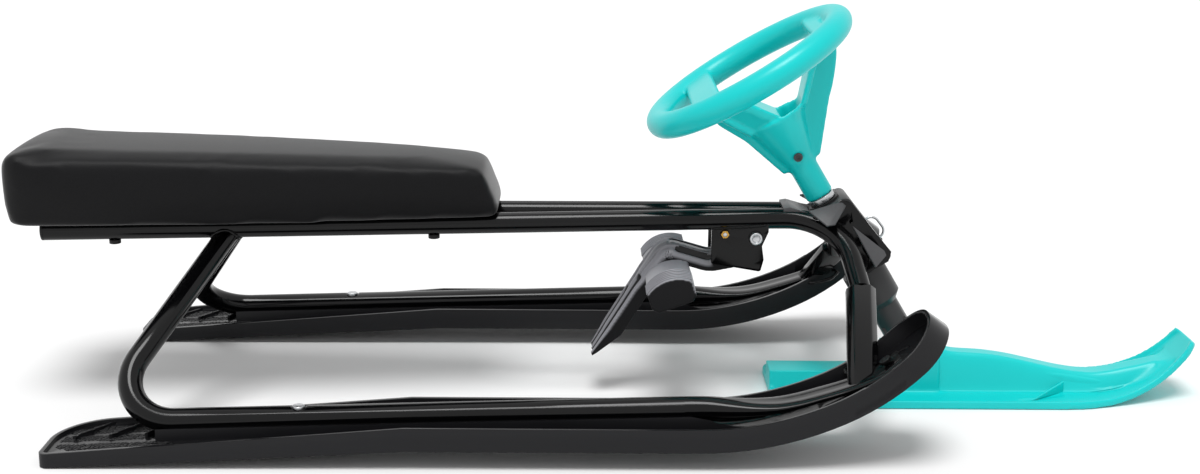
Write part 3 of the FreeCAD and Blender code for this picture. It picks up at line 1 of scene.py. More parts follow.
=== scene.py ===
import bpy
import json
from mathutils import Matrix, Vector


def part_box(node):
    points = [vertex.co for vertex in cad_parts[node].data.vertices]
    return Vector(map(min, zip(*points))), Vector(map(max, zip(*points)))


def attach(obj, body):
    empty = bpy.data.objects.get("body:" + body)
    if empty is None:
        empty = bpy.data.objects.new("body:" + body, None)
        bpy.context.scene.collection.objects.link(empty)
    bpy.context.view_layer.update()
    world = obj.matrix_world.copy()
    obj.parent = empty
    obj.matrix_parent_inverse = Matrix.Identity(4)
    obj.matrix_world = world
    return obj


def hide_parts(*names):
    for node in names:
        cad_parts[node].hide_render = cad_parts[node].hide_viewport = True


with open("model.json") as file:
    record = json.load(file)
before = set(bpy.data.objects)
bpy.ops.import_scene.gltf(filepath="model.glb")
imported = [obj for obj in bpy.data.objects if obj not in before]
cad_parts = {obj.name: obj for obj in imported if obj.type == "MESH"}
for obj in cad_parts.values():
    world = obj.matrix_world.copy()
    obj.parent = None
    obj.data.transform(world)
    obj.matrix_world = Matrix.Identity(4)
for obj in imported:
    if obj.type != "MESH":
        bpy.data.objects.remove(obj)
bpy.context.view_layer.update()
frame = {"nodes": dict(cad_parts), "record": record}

import json
import math
import bmesh
import bpy
from mathutils import Matrix, Vector
from mathutils.bvhtree import BVHTree

nodes = frame["nodes"]
record = frame["record"]
bodyOf = {node: body for body, names in record["behaviour"]["bodies"].items() for node in names}
slotOf = {part["node"]: part["material_slot"] for part in record["subparts"]}
sides = ((1, "left"), (-1, "right"))
mm = 0.001
# what all copies of CAD pieces share: millimetres, degrees and the strength of a smoothing pass
copying = {"merge": 0.004, "flatten": 0.6, "sharp": 35.0, "bevelFrom": 30.0, "smoothing": 0.5}


def clamp(value):
    return min(1.0, max(0.0, value))


def easeShare(share):
    # a share of a way, with a soft start and stop
    share = clamp(share)
    return share * share * (3.0 - 2.0 * share)


def rampedRow(rows, x):
    # the columns of a table of (x, ...) rows, with a soft start and stop at each row
    for (x0, *start), (x1, *stop) in zip(rows, rows[1:]):
        if x <= x1:
            share = easeShare((x - x0) / (x1 - x0))
            return [p + (q - p) * share for p, q in zip(start, stop)]
    return rows[-1][1:]


def easedRow(rows, x):
    # the columns of a table of (x, ...) rows, as one smooth line through them
    last = len(rows) - 1
    x = min(max(x, rows[0][0]), rows[last][0])
    i = next(k for k in range(last) if x <= rows[k + 1][0])
    ends = [(rows[max(k - 1, 0)], rows[min(k + 1, last)]) for k in (i, i + 1)]
    span = rows[i + 1][0] - rows[i][0]
    t = (x - rows[i][0]) / span
    values = []
    for column in range(1, len(rows[i])):
        slopes = [(b[column] - a[column]) / (b[0] - a[0]) for a, b in ends]
        values.append((2 * t ** 3 - 3 * t ** 2 + 1) * rows[i][column] + (t ** 3 - 2 * t ** 2 + t) * span * slopes[0] +
                      (3 * t ** 2 - 2 * t ** 3) * rows[i + 1][column] + (t ** 3 - t ** 2) * span * slopes[1])
    return values


def spread(points, step):
    # points along a line of (x, y), no further apart than a step
    line = [Vector(points[0])]
    for a, b in zip(points, points[1:]):
        a, b = Vector(a), Vector(b)
        count = max(1, round((b - a).length / step))
        line += [a + (b - a) * (i / count) for i in range(1, count + 1)]
    return line


def mirrored(side, point):
    # a point in millimetres, or its mirror image, in metres
    return Vector((point[0], side * point[1], point[2])) * mm


def camelName(node):
    first, *rest = node.split("_")
    return first + "".join(word.capitalize() for word in rest)


def hexLinear(code):
    # sRGB hex to linear RGBA
    values = [int(code[i:i + 2], 16) / 255 for i in (1, 3, 5)]
    linear = [v / 12.92 if v <= 0.04045 else ((v + 0.055) / 1.055) ** 2.4 for v in values]
    return (*linear, 1.0)


def perMetre(sizeMm):
    # texture scale for features of a real size
    return 1000.0 / sizeMm


def assign(target, values):
    for key, value in values.items():
        setattr(target, key, value)


def addNode(tree, kind, inputs=None, settings=None):
    # settings go on the node; inputs are values, or sockets to link from
    node = tree.nodes.new(kind)
    assign(node, settings or {})
    for key, value in (inputs or {}).items():
        socket = node.inputs[key]
        if isinstance(value, bpy.types.NodeSocket):
            tree.links.new(value, socket)
        else:
            socket.default_value = value
    return node


def addNoise(tree, place, sizeMm, detail):
    noise = addNode(tree, "ShaderNodeTexNoise", {"Vector": place, "Scale": perMetre(sizeMm), "Detail": detail})
    return noise.outputs["Fac"]


def addRange(tree, value, start, stop):
    # a value of one range carried over to another
    ranged = addNode(tree, "ShaderNodeMapRange", {"Value": value, "From Min": start[0], "From Max": start[1],
                                                  "To Min": stop[0], "To Max": stop[1]})
    return ranged.outputs["Result"]


def addMix(tree, share, a, b, kind="RGBA"):
    mix = addNode(tree, "ShaderNodeMix", {"Factor": share, "A": a, "B": b}, {"data_type": kind})
    return mix.outputs[2 if kind == "RGBA" else 0]


def addBump(tree, height, strength, depth):
    bump = addNode(tree, "ShaderNodeBump", {"Height": height, "Strength": strength, "Distance": depth * mm})
    return bump.outputs["Normal"]


def linkAll(tree, inputs, sockets):
    for label, socket in sockets.items():
        tree.links.new(socket, inputs[label])


def newMaterial(name, color, roughness, metallic=0.0, specular=0.5):
    material = bpy.data.materials.new(name)
    material.use_nodes = True
    inputs = material.node_tree.nodes["Principled BSDF"].inputs
    for label, value in (("Base Color", hexLinear(color)), ("Roughness", roughness), ("Metallic", metallic),
                         ("Specular IOR Level", specular)):
        inputs[label].default_value = value
    return material, material.node_tree, inputs


def newObject(name, mesh):
    obj = bpy.data.objects.new(name, mesh)
    bpy.context.scene.collection.objects.link(obj)
    return obj


def openMesh(mesh):
    work = bmesh.new()
    work.from_mesh(mesh)
    return work


def closeMesh(work, mesh):
    work.to_mesh(mesh)
    work.free()
    return mesh


def objectFrom(work, name):
    return newObject(name, closeMesh(work, bpy.data.meshes.new(name)))


def finishPiece(obj, node, material, replaced=()):
    obj.data.materials.clear()
    obj.data.materials.append(material)
    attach(obj, bodyOf[node])
    if replaced:
        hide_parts(*replaced)
    return obj


def bakeModifiers(obj):
    # the modifiers' result becomes the object's own plain mesh
    graph = bpy.context.evaluated_depsgraph_get()
    mesh = bpy.data.meshes.new_from_object(obj.evaluated_get(graph))
    obj.modifiers.clear()
    obj.data = mesh
    return obj


def addModifier(obj, kind, settings):
    modifier = obj.modifiers.new(kind.lower(), kind)
    assign(modifier, settings)
    return modifier


def addSmoothing(obj, passes, group=""):
    addModifier(obj, "SMOOTH", {"factor": copying["smoothing"], "iterations": passes, "vertex_group": group})


def shadeSmooth(obj, sharp=None):
    obj.data.shade_smooth()
    if sharp:
        obj.data.set_sharp_from_angle(angle=math.radians(sharp))
    return obj


def softenEdges(obj, bevel, segments=2, angle=copying["bevelFrom"]):
    addModifier(obj, "BEVEL", {"width": bevel * mm, "segments": segments, "limit_method": "ANGLE",
                               "angle_limit": math.radians(angle)})
    return bakeModifiers(obj)


def reskin(obj, voxel, passes):
    # one skin over the whole mesh, its inside corners running into each other as in a moulding
    addModifier(obj, "REMESH", {"mode": "VOXEL", "voxel_size": voxel * mm})
    addSmoothing(obj, passes)
    return shadeSmooth(bakeModifiers(obj))


def mergedCopy(node, flatten=0.0):
    # a copy of a CAD node with its doubled vertices merged
    mesh = nodes[node].data.copy()
    work = openMesh(mesh)
    bmesh.ops.remove_doubles(work, verts=work.verts, dist=copying["merge"] * mm)
    if flatten:
        bmesh.ops.dissolve_limit(work, angle_limit=math.radians(flatten), verts=work.verts, edges=work.edges)
    return newObject(camelName(node), closeMesh(work, mesh))


def mouldedCopy(node, voxel, passes):
    return reskin(mergedCopy(node), voxel, passes)


def smoothCopy(node, bevel, angle=copying["sharp"], segments=2, flatten=0.0, socket=None):
    # a merged, smooth copy of a CAD node, with its hard edges softened
    obj = mergedCopy(node, flatten if bevel else 0.0)
    if socket:
        sinkSocket(obj, *socket)
    if bevel:
        softenEdges(obj, bevel, segments, angle)
    return shadeSmooth(obj, angle)


def joinRings(work, rings, capped=True):
    # a tube's skin through rings of vertices
    faces = []
    for a, b in zip(rings, rings[1:]):
        faces += [work.faces.new((a[k - 1], b[k - 1], b[k], a[k])) for k in range(len(a))]
    if capped:
        faces += [work.faces.new(rings[0]), work.faces.new(rings[-1][::-1])]
    return faces


def addPlate(work, corners, thickness):
    # a flat plate from its outline; the thickness is a vector
    face = work.faces.new([work.verts.new(corner) for corner in corners])
    grown = bmesh.ops.extrude_face_region(work, geom=[face])["geom"]
    bmesh.ops.translate(work, vec=thickness, verts=[v for v in grown if isinstance(v, bmesh.types.BMVert)])
    bmesh.ops.recalc_face_normals(work, faces=work.faces)


def surfaceOf(node):
    # for finding places on a CAD node's surface
    work = openMesh(nodes[node].data)
    tree = BVHTree.FromBMesh(work)
    work.free()
    return tree


def lineMesh(name, lines):
    # a mesh of bare edges along lists of points in metres
    points, edges = [], []
    for line in lines:
        first = len(points)
        points += [tuple(point) for point in line]
        edges += [(i, i + 1) for i in range(first, len(points) - 1)]
    mesh = bpy.data.meshes.new(name)
    mesh.from_pydata(points, edges, [])
    return mesh


def newTree(name, sizes):
    # an empty node tree with named inputs for its sizes and its material
    tree = bpy.data.node_groups.new(name, "GeometryNodeTree")
    for label, kind in {"Geometry": "Geometry", **sizes, "Material": "Material"}.items():
        tree.interface.new_socket(label, in_out="INPUT", socket_type="NodeSocket" + kind)
    tree.interface.new_socket("Geometry", in_out="OUTPUT", socket_type="NodeSocketGeometry")
    return tree, addNode(tree, "NodeGroupInput").outputs


def closeTree(tree, geometry, start):
    # every tree ends in real geometry with its material
    real = addNode(tree, "GeometryNodeRealizeInstances", {"Geometry": geometry})
    smooth = addNode(tree, "GeometryNodeSetShadeSmooth", {"Geometry": real.outputs[0]})
    coated = addNode(tree, "GeometryNodeSetMaterial", {"Geometry": smooth.outputs[0], "Material": start["Material"]})
    addNode(tree, "NodeGroupOutput", {"Geometry": coated.outputs[0]})
    return tree


def addRibs(tree, start, mesh):
    # the lines of a mesh given a round thickness
    line = addNode(tree, "GeometryNodeMeshToCurve", {"Mesh": mesh})
    ring = addNode(tree, "GeometryNodeCurvePrimitiveCircle", {"Resolution": 8, "Radius": start["Radius"]})
    rib = addNode(tree, "GeometryNodeCurveToMesh", {"Curve": line.outputs[0], "Profile Curve": ring.outputs["Curve"],
                                                    "Fill Caps": True})
    return closeTree(tree, rib.outputs[0], start)


def growPiece(mesh, tree, material, values, node):
    # a piece grown by a node tree from a mesh of points or lines
    obj = newObject(mesh.name, mesh)
    modifier = addModifier(obj, "NODES", {"node_group": tree})
    values = {**values, "Material": material}
    for socket in tree.interface.items_tree:
        if socket.in_out == "INPUT" and socket.name in values:
            modifier[socket.identifier] = values[socket.name]
    return finishPiece(bakeModifiers(obj), node, material)


# the photograph's own viewpoint, in metres, degrees and pixels
cameraSettings = {"place": (-0.03627, -1.65326, 0.56258), "yaw": 0.6234, "pitch": 13.8715, "roll": 0.5384,
                  "focalPixels": 1742.65, "imageWidth": 1200.0, "sensor": 36.0, "farthest": 100.0}


def makeCamera(s):
    yaw, pitch, roll = (math.radians(s[key]) for key in ("yaw", "pitch", "roll"))
    ahead = Vector((math.sin(yaw) * math.cos(pitch), math.cos(yaw) * math.cos(pitch), -math.sin(pitch)))
    level = Vector((math.cos(yaw), -math.sin(yaw), 0.0))
    above = level.cross(ahead)
    right = level * math.cos(roll) + above * math.sin(roll)
    up = above * math.cos(roll) - level * math.sin(roll)
    data = bpy.data.cameras.new("photoCamera")
    data.sensor_fit = "HORIZONTAL"
    data.sensor_width = s["sensor"]
    data.lens = s["focalPixels"] * s["sensor"] / s["imageWidth"]
    data.clip_end = s["farthest"]
    camera = newObject("photoCamera", data)
    turn = Matrix((right, up, -ahead)).transposed().to_4x4()
    camera.matrix_world = Matrix.Translation(s["place"]) @ turn
    bpy.context.scene.camera = camera


makeCamera(cameraSettings)
print("camera set")


# white surroundings, one large soft light from above, and a paper floor that keeps the shadow
studio = {"floorRadius": 40.0, "floorSides": 64, "floorDrop": 0.0005, "floorColor": "#fafafa", "floorRoughness": 0.9,
          "worldStrength": 0.56, "sunStrength": 2.0, "sunAngle": 26.0, "sunTilt": (18.0, -4.0, 0.0)}


def makeStudio(s):
    scene = bpy.context.scene
    scene.view_settings.view_transform = "Standard"
    world = bpy.data.worlds.new("studio")
    scene.world = world
    world.use_nodes = True
    tree = world.node_tree
    light = addNode(tree, "ShaderNodeLightPath").outputs
    seen = light["Is Camera Ray"]
    for kind in ("Is Glossy Ray", "Is Transmission Ray"):
        seen = addNode(tree, "ShaderNodeMath", {0: seen, 1: light[kind]}, {"operation": "MAXIMUM"}).outputs[0]
    sky = tree.nodes["Background"].inputs
    sky["Color"].default_value = (1.0, 1.0, 1.0, 1.0)
    linkAll(tree, sky, {"Strength": addRange(tree, seen, (0.0, 1.0), (s["worldStrength"], 1.0))})

    sun = bpy.data.lights.new("softSun", "SUN")
    sun.energy = s["sunStrength"]
    sun.angle = math.radians(s["sunAngle"])
    newObject("softSun", sun).rotation_euler = [math.radians(v) for v in s["sunTilt"]]

    work = bmesh.new()
    bmesh.ops.create_circle(work, cap_ends=True, radius=s["floorRadius"], segments=s["floorSides"])
    floor = objectFrom(work, "floor")
    material, *_ = newMaterial("matt white paper", s["floorColor"], s["floorRoughness"], specular=0.0)
    floor.data.materials.append(material)
    floor.location.z = -s["floorDrop"]


makeStudio(studio)
print("studio set")


# materials, each named for the real one and how its surface was made
# their textures are (size in millimetres, detail) and their bumps (strength, depth in millimetres)
def objectPlace(tree):
    return addNode(tree, "ShaderNodeTexCoord").outputs["Object"]


# powder coat on steel: deep colour, clear reflections over a faint orange peel
coat = {"peel": (2.2, 2.0), "bump": (0.05, 0.3), "haze": (55.0, 5.0), "hazeRange": (0.35, 0.7), "gloss": (0.8, 1.3)}


def powderCoat(name, color, roughness, specular):
    material, tree, shader = newMaterial(name, color, roughness, specular=specular)
    place = objectPlace(tree)
    peel = addBump(tree, addNoise(tree, place, *coat["peel"]), *coat["bump"])
    haze = addNoise(tree, place, *coat["haze"])
    gloss = addRange(tree, haze, coat["hazeRange"], [roughness * share for share in coat["gloss"]])
    linkAll(tree, shader, {"Roughness": gloss, "Normal": peel})
    return material


# injection moulding: even colour with a slow drift, a fine eroded grain, polished faces where it lifts off; those
# faces may also take a lighter colour, which is a painted highlight from the light above
moulding = {"drift": (90.0, 3.0), "driftRange": (0.3, 0.7), "gloss": (-0.05, 0.05), "grainDetail": 3.0,
            "bump": (0.08, 0.2), "topRange": (0.02, 0.3)}


def mouldedPlastic(name, color, shade, roughness, specular, grainMm, top=None):
    material, tree, shader = newMaterial(name, color, roughness, specular=specular)
    place = objectPlace(tree)
    drift = addNoise(tree, place, *moulding["drift"])
    tone = addMix(tree, drift, hexLinear(color), hexLinear(shade))
    grain = addBump(tree, addNoise(tree, place, grainMm, moulding["grainDetail"]), *moulding["bump"])
    gloss = addRange(tree, drift, moulding["driftRange"], [roughness + step for step in moulding["gloss"]])
    if top:
        facing = addNode(tree, "ShaderNodeNewGeometry").outputs["Normal"]
        lift = addNode(tree, "ShaderNodeSeparateXYZ", {"Vector": facing}).outputs["Z"]
        share = addRange(tree, lift, moulding["topRange"], (0.0, 1.0))
        gloss = addMix(tree, share, gloss, top["roughness"], "FLOAT")
        shine = addMix(tree, share, specular, top["specular"], "FLOAT")
        # upward faces blend to the top colour: where it is lighter than the body, it is a painted highlight
        tone = addMix(tree, share, tone, hexLinear(top["color"]))
        linkAll(tree, shader, {"Specular IOR Level": shine})
    linkAll(tree, shader, {"Base Color": tone, "Roughness": gloss, "Normal": grain})
    return material


# coated fabric: small irregular pebbles, with painted shade making the creases between them darker
vinyl = {"pebble": 1.8, "scatter": 0.9, "crease": 0.12, "fine": (0.8, 3.0), "fineShare": 0.25, "bump": (0.22, 0.2),
         "sheen": 0.22, "sheenRoughness": 0.4}


def grainedVinyl(name, color, shade, roughness, specular):
    material, tree, shader = newMaterial(name, color, roughness, specular=specular)
    place = objectPlace(tree)
    pebble = addNode(tree, "ShaderNodeTexVoronoi",
                     {"Vector": place, "Scale": perMetre(vinyl["pebble"]), "Randomness": vinyl["scatter"]},
                     {"feature": "DISTANCE_TO_EDGE"})
    crease = addRange(tree, pebble.outputs["Distance"], (0.0, vinyl["crease"]), (0.0, 1.0))
    fine = addNoise(tree, place, *vinyl["fine"])
    height = addNode(tree, "ShaderNodeMath", {0: fine, 1: vinyl["fineShare"], 2: crease},
                     {"operation": "MULTIPLY_ADD"})
    shader["Sheen Weight"].default_value = vinyl["sheen"]
    shader["Sheen Roughness"].default_value = vinyl["sheenRoughness"]
    # the creases take the darker colour: painted shade in the grain
    linkAll(tree, shader, {"Base Color": addMix(tree, crease, hexLinear(shade), hexLinear(color)),
                           "Normal": addBump(tree, height.outputs[0], *vinyl["bump"])})
    return material


# plated or turned metal: bright, with short scratches and dull patches
plating = {"patch": (6.0, 4.0), "patchRange": (0.3, 0.7), "gloss": (-0.08, 0.12), "scratchDetail": 2.0,
           "bump": (0.08, 0.1)}


def platedMetal(name, color, roughness, scratchMm):
    material, tree, shader = newMaterial(name, color, roughness, metallic=1.0)
    place = objectPlace(tree)
    patch = addNoise(tree, place, *plating["patch"])
    scratch = addNoise(tree, place, scratchMm, plating["scratchDetail"])
    gloss = addRange(tree, patch, plating["patchRange"], [roughness + step for step in plating["gloss"]])
    linkAll(tree, shader, {"Roughness": gloss, "Normal": addBump(tree, scratch, *plating["bump"])})
    return material


# rotary-cut veneers: long grain on the face, thin plies at the edge
plywood = {"roughness": 0.5, "stretch": (0.08, 1.0, 1.0), "grain": (5.0, 6.0), "plies": 9.5, "waver": 0.6}


def sealedPlywood(name, early, late):
    material, tree, shader = newMaterial(name, early, plywood["roughness"])
    place = objectPlace(tree)
    stretch = addNode(tree, "ShaderNodeMapping", {"Vector": place, "Scale": plywood["stretch"]})
    grain = addNoise(tree, stretch.outputs[0], *plywood["grain"])
    plies = addNode(tree, "ShaderNodeTexWave", {"Vector": place, "Scale": perMetre(plywood["plies"]),
                                                "Distortion": plywood["waver"]}, {"bands_direction": "Z"})
    both = addNode(tree, "ShaderNodeMath", {0: grain, 1: plies.outputs["Fac"]}, {"operation": "MULTIPLY"})
    linkAll(tree, shader, {"Base Color": addMix(tree, both.outputs[0], hexLinear(early), hexLinear(late))})
    return material


finishes = {
    "black_gloss_paint": powderCoat("black gloss powder coat on steel", "#060607", 0.13, 0.24),
    "charcoal_paint": powderCoat("charcoal satin powder coat on steel", "#2c2c2d", 0.34, 0.35),
    "black_moulding": mouldedPlastic("black injection-moulded polypropylene", "#121213", "#171718", 0.36, 0.3, 1.1),
    "turquoise_moulding": mouldedPlastic("turquoise injection-moulded polyethylene", "#06d2d0", "#04c8c8",
                                         0.34, 0.35, 1.2),
    "black_vinyl": grainedVinyl("black grained vinyl on foam", "#0e0e10", "#0a0a0b", 0.42, 0.12),
    "plywood": sealedPlywood("sealed birch plywood", "#caa878", "#9a7446"),
    "zinc_steel": platedMetal("zinc-plated steel", "#c4c6c8", 0.32, 1.5),
    "brass": platedMetal("turned brass", "#c79a4b", 0.3, 1.5),
    "spring_steel": platedMetal("drawn spring wire", "#a9abad", 0.28, 1.0),
    "bush_plastic": mouldedPlastic("black moulded nylon", "#161617", "#1c1c1d", 0.45, 0.3, 0.9),
}
framePaint, turquoise = finishes["black_gloss_paint"], finishes["turquoise_moulding"]
runnerPlastic = mouldedPlastic("black moulded polyethylene, matt flanks and a polished tray", "#131315", "#18181b",
                               0.46, 0.24, 1.1, {"roughness": 0.16, "specular": 0.3, "color": "#131315"})
# black nylon whose upward faces are painted light grey: a painted highlight from the light above, on the lever, pegs
# and tread ribs
leverPlasticPaintedTop = mouldedPlastic("black moulded nylon, etched sides and a polished top", "#151516", "#1b1b1d",
                              0.5, 0.14, 1.1, {"roughness": 0.42, "specular": 0.9, "color": "#828288"})
plateCoat = powderCoat("dark grey satin powder coat on steel", "#48484a", 0.36, 0.4)
boltCoat = powderCoat("black phosphate coat on steel", "#0b0b0c", 0.4, 0.25)
print("materials set")


# steel, board, fasteners and other hard pieces: true shapes with their edges softened, in millimetres
softEdges = {
    "top_rail_left": 0.0, "top_rail_right": 0.0, "rail_tie_plate": 0.8, "rail_end_plugs": 0.6, "head_bracket": 0.8,
    "head_gusset_left": 0.5, "head_gusset_right": 0.5, "column_ring": 0.4, "tow_loop": 0.0, "ski_knuckle": 1.0,
    "brake_bracket": 0.5, "seat_board": 0.8, "brake_stop_nut": 0.4, "brake_pivot_bolt": 0.5, "brake_pivot_nut": 0.4,
    "wheel_bolt": 0.3, "wheel_nut": 0.3, "ski_pivot_bolt": 0.4, "ski_pivot_nut": 0.4, "seat_bolts": 0.5,
    "runner_bolts": 0.5, "brake_stop_bolt": 0.4, "brake_spring": 0.0,
}
drilled = ("head_gusset_left", "head_gusset_right", "head_bracket", "brake_bracket")
# made anew further down
remade = ("steering_wheel", "front_ski", "runner_left", "runner_right", "seat_cushion", "brake_lever",
          "foot_peg_left", "foot_peg_right", "lower_rail_left", "lower_rail_right", "front_strut_left",
          "front_strut_right")
ownFinish = {"rail_tie_plate": plateCoat, "seat_bolts": boltCoat, "wheel_bolt": plateCoat}
# bolt heads with a socket: the way the head faces, its rim and the socket's depth
sockets = {"brake_pivot_bolt": ((0, -1, 0), 2.2, 2.0), "wheel_bolt": ((0, -1, 0), 1.6, 1.5)}
socketShape = {"facing": 0.99, "level": 0.2, "taper": 0.2}


def sinkSocket(obj, way, rim, depth):
    # press a socket into the middle of a bolt's head
    work = openMesh(obj.data)
    work.normal_update()
    way = Vector(way)
    flat = [face for face in work.faces if face.normal.dot(way) > socketShape["facing"]]
    outer = max(face.calc_center_median().dot(way) for face in flat)
    head = [face for face in flat if face.calc_center_median().dot(way) > outer - socketShape["level"] * mm]
    for inset, sunk in ((rim, 0.0), (socketShape["taper"], -depth)):
        bmesh.ops.inset_region(work, faces=head, thickness=inset * mm, depth=sunk * mm, use_even_offset=True)
    closeMesh(work, obj.data)


for node in nodes:
    finish = finishes[slotOf[node]]
    if node in softEdges:
        flatten = 0.0 if node in drilled else copying["flatten"]
        piece = smoothCopy(node, softEdges[node], flatten=flatten, socket=sockets.get(node))
        finishPiece(piece, node, ownFinish.get(node, finish), (node,))
    elif node not in remade:
        nodes[node].data.materials.clear()
        nodes[node].data.materials.append(finish)
print("hard pieces dressed")


# lower rails: round tube behind, pressed flat towards the tip; rows of (x, top, width, height) in millimetres
pressed = {"cut": 56.0, "y": 185.0, "around": 48, "step": 2.0, "valley": 0.9, "valleyWidth": 5.0, "sharp": 40.0,
           "roundHeight": 22.0, "flatHeight": 6.0, "square": 1.6,
           "rows": ((54, 54.18, 22, 22), (66, 54.5, 22, 22), (80, 54.2, 22.6, 21), (100, 52.4, 25.5, 17),
                    (120, 51.0, 29, 12.5), (140, 51.6, 32, 9), (158, 54.8, 33, 7), (175, 59.6, 33, 6),
                    (190, 64.2, 33, 6), (202, 68.3, 33, 6), (215, 73.6, 33, 6), (226, 78.9, 33, 6),
                    (236, 86.8, 33, 6), (246, 95.8, 33, 6))}


def pressedTop(x):
    return easedRow(pressed["rows"], x)[0]


def pressedMiddle(x):
    top, _, height = easedRow(pressed["rows"], x)
    return top - height / 2


def makeLowerRails(s):
    first, last = s["rows"][0][0], s["rows"][-1][0]
    count = round((last - first) / s["step"])
    for side, end in sides:
        node = "lower_rail_" + end
        obj = mergedCopy(node)
        work = openMesh(obj.data)
        bmesh.ops.bisect_plane(work, geom=work.verts[:] + work.edges[:] + work.faces[:],
                               plane_co=(s["cut"] * mm, 0, 0), plane_no=(1, 0, 0), clear_outer=True)
        rings = []
        for i in range(count + 1):
            x = first + i * s["step"]
            top, width, height = easedRow(s["rows"], x)
            lean = math.atan2(pressedMiddle(x + 1) - pressedMiddle(x - 1), 2.0)
            flat = 1 - (height - s["flatHeight"]) / (s["roundHeight"] - s["flatHeight"])
            power = 2.0 / (2.0 + s["square"] * flat)
            ring = []
            for angle in (math.tau * k / s["around"] for k in range(s["around"])):
                c, u = math.cos(angle), math.sin(angle)
                y = width / 2 * math.copysign(abs(c) ** power, c)
                up = height / 2 * math.copysign(abs(u) ** power, u)
                if up > 0:
                    up -= s["valley"] * flat * math.exp(-(y / s["valleyWidth"]) ** 2)
                ring.append(work.verts.new(((x - up * math.sin(lean)) * mm, (side * s["y"] + y) * mm,
                                            (top - height / 2 + up * math.cos(lean)) * mm)))
            rings.append(ring)
        joinRings(work, rings)
        bmesh.ops.recalc_face_normals(work, faces=work.faces)
        closeMesh(work, obj.data)
        finishPiece(shadeSmooth(obj, s["sharp"]), node, framePaint, (node,))


makeLowerRails(pressed)
print("lower rails pressed")


# front struts: faceted tubes, cut to stand on the pressed rails
strut = {"bevel": 1.2, "head": (225.5, 82.0, 125.0), "foot": (215.5, 176.0), "low": 92.0, "sunk": 0.4, "tries": 4}


def slideToRail(point, way, sunk=0.0):
    # along the strut until it meets the pressed rail
    for _ in range(strut["tries"]):
        rest = pressedTop(point.x / mm) - sunk - point.z / mm
        point += way * (rest / way.z * mm)
    return point


def makeStruts(s):
    for side, end in sides:
        node = "front_strut_" + end
        obj = mergedCopy(node, copying["flatten"])
        foot = Vector((s["foot"][0], side * s["foot"][1], pressedTop(s["foot"][0])))
        way = (foot - Vector((s["head"][0], side * s["head"][1], s["head"][2]))).normalized()
        for vertex in obj.data.vertices:
            if vertex.co.z < s["low"] * mm:
                vertex.co = slideToRail(vertex.co.copy(), way, s["sunk"])
        shadeSmooth(softenEdges(obj, s["bevel"]), copying["sharp"])
        finishPiece(obj, node, framePaint, (node,))


makeStruts(strut)
print("struts cut")


# folded flaps between the steering bracket and the rails; corners in millimetres on the rider's right
flaps = {"upper": ((180.0, -37.0, 190.5), (214.5, -25.5, 198.0), (217.5, -26.0, 194.0), (204.0, -50.0, 180.6),
                   (196.0, -52.0, 179.6)),
         "lower": ((224.0, -27.5, 174.0), (256.0, -27.5, 149.5), (258.0, -28.5, 145.0), (246.5, -40.0, 136.0)),
         "thickness": 2.0, "bevel": 0.6}


def makeFlaps(s):
    for side, end in sides[::-1]:
        for part in ("upper", "lower"):
            corners = [mirrored(-side, corner) for corner in s[part]]
            normal = (corners[1] - corners[0]).cross(corners[-1] - corners[0]).normalized()
            work = bmesh.new()
            addPlate(work, corners, normal * (-s["thickness"] * mm) * math.copysign(1.0, normal.z))
            obj = softenEdges(objectFrom(work, part + "Flap" + end.capitalize()), s["bevel"])
            finishPiece(shadeSmooth(obj, copying["sharp"]), "head_gusset_" + end, plateCoat)


makeFlaps(flaps)
print("flaps folded")


# the seat's cover, pulled down round the board and held there, filled tight with foam
cushion = {"hem": 2.5, "hemFrom": 4.0, "fall": 9.9, "run": 759.0, "rearRise": 5.0, "rearReach": 80.0, "rearOut": 3.0,
           "voxel": 5.0, "passes": 2, "held": 9.0, "heldShare": 1.4, "frames": 20, "cap": 3.5, "lastPasses": 4,
           "fill": 0.9,
           "cloth": {"quality": 4, "mass": 0.3, "tension_stiffness": 60.0, "compression_stiffness": 60.0,
                     "bending_stiffness": 12.0, "vertex_group_mass": "held", "use_pressure": True,
                     "uniform_pressure_force": 2.0}}


def seatLow(s, x):
    # the cushion's lower face, which follows the rails' slope
    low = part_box("seat_board")[0]
    return low[2] + (x - low[0]) * (s["fall"] / s["run"])


def fillCushion(obj, s):
    # the underside stays where the board holds it
    held = obj.vertex_groups.new(name="held")
    for vertex in obj.data.vertices:
        share = (vertex.co.z - seatLow(s, vertex.co.x)) / (s["held"] * mm)
        held.add([vertex.index], clamp(s["heldShare"] - share), "REPLACE")
    start = [vertex.co.copy() for vertex in obj.data.vertices]
    cloth = addModifier(obj, "CLOTH", {})
    assign(cloth.settings, s["cloth"])
    cloth.settings.effector_weights.gravity = 0.0
    cloth.collision_settings.use_collision = False
    cloth.point_cache.frame_end = s["frames"]
    scene = bpy.context.scene
    for step in range(1, s["frames"] + 1):
        scene.frame_set(step)
    bakeModifiers(obj)
    scene.frame_set(1)
    for vertex, before in zip(obj.data.vertices, start):
        move = vertex.co - before
        if move.length > s["cap"] * mm:
            vertex.co = before + move * (s["cap"] * mm / move.length)


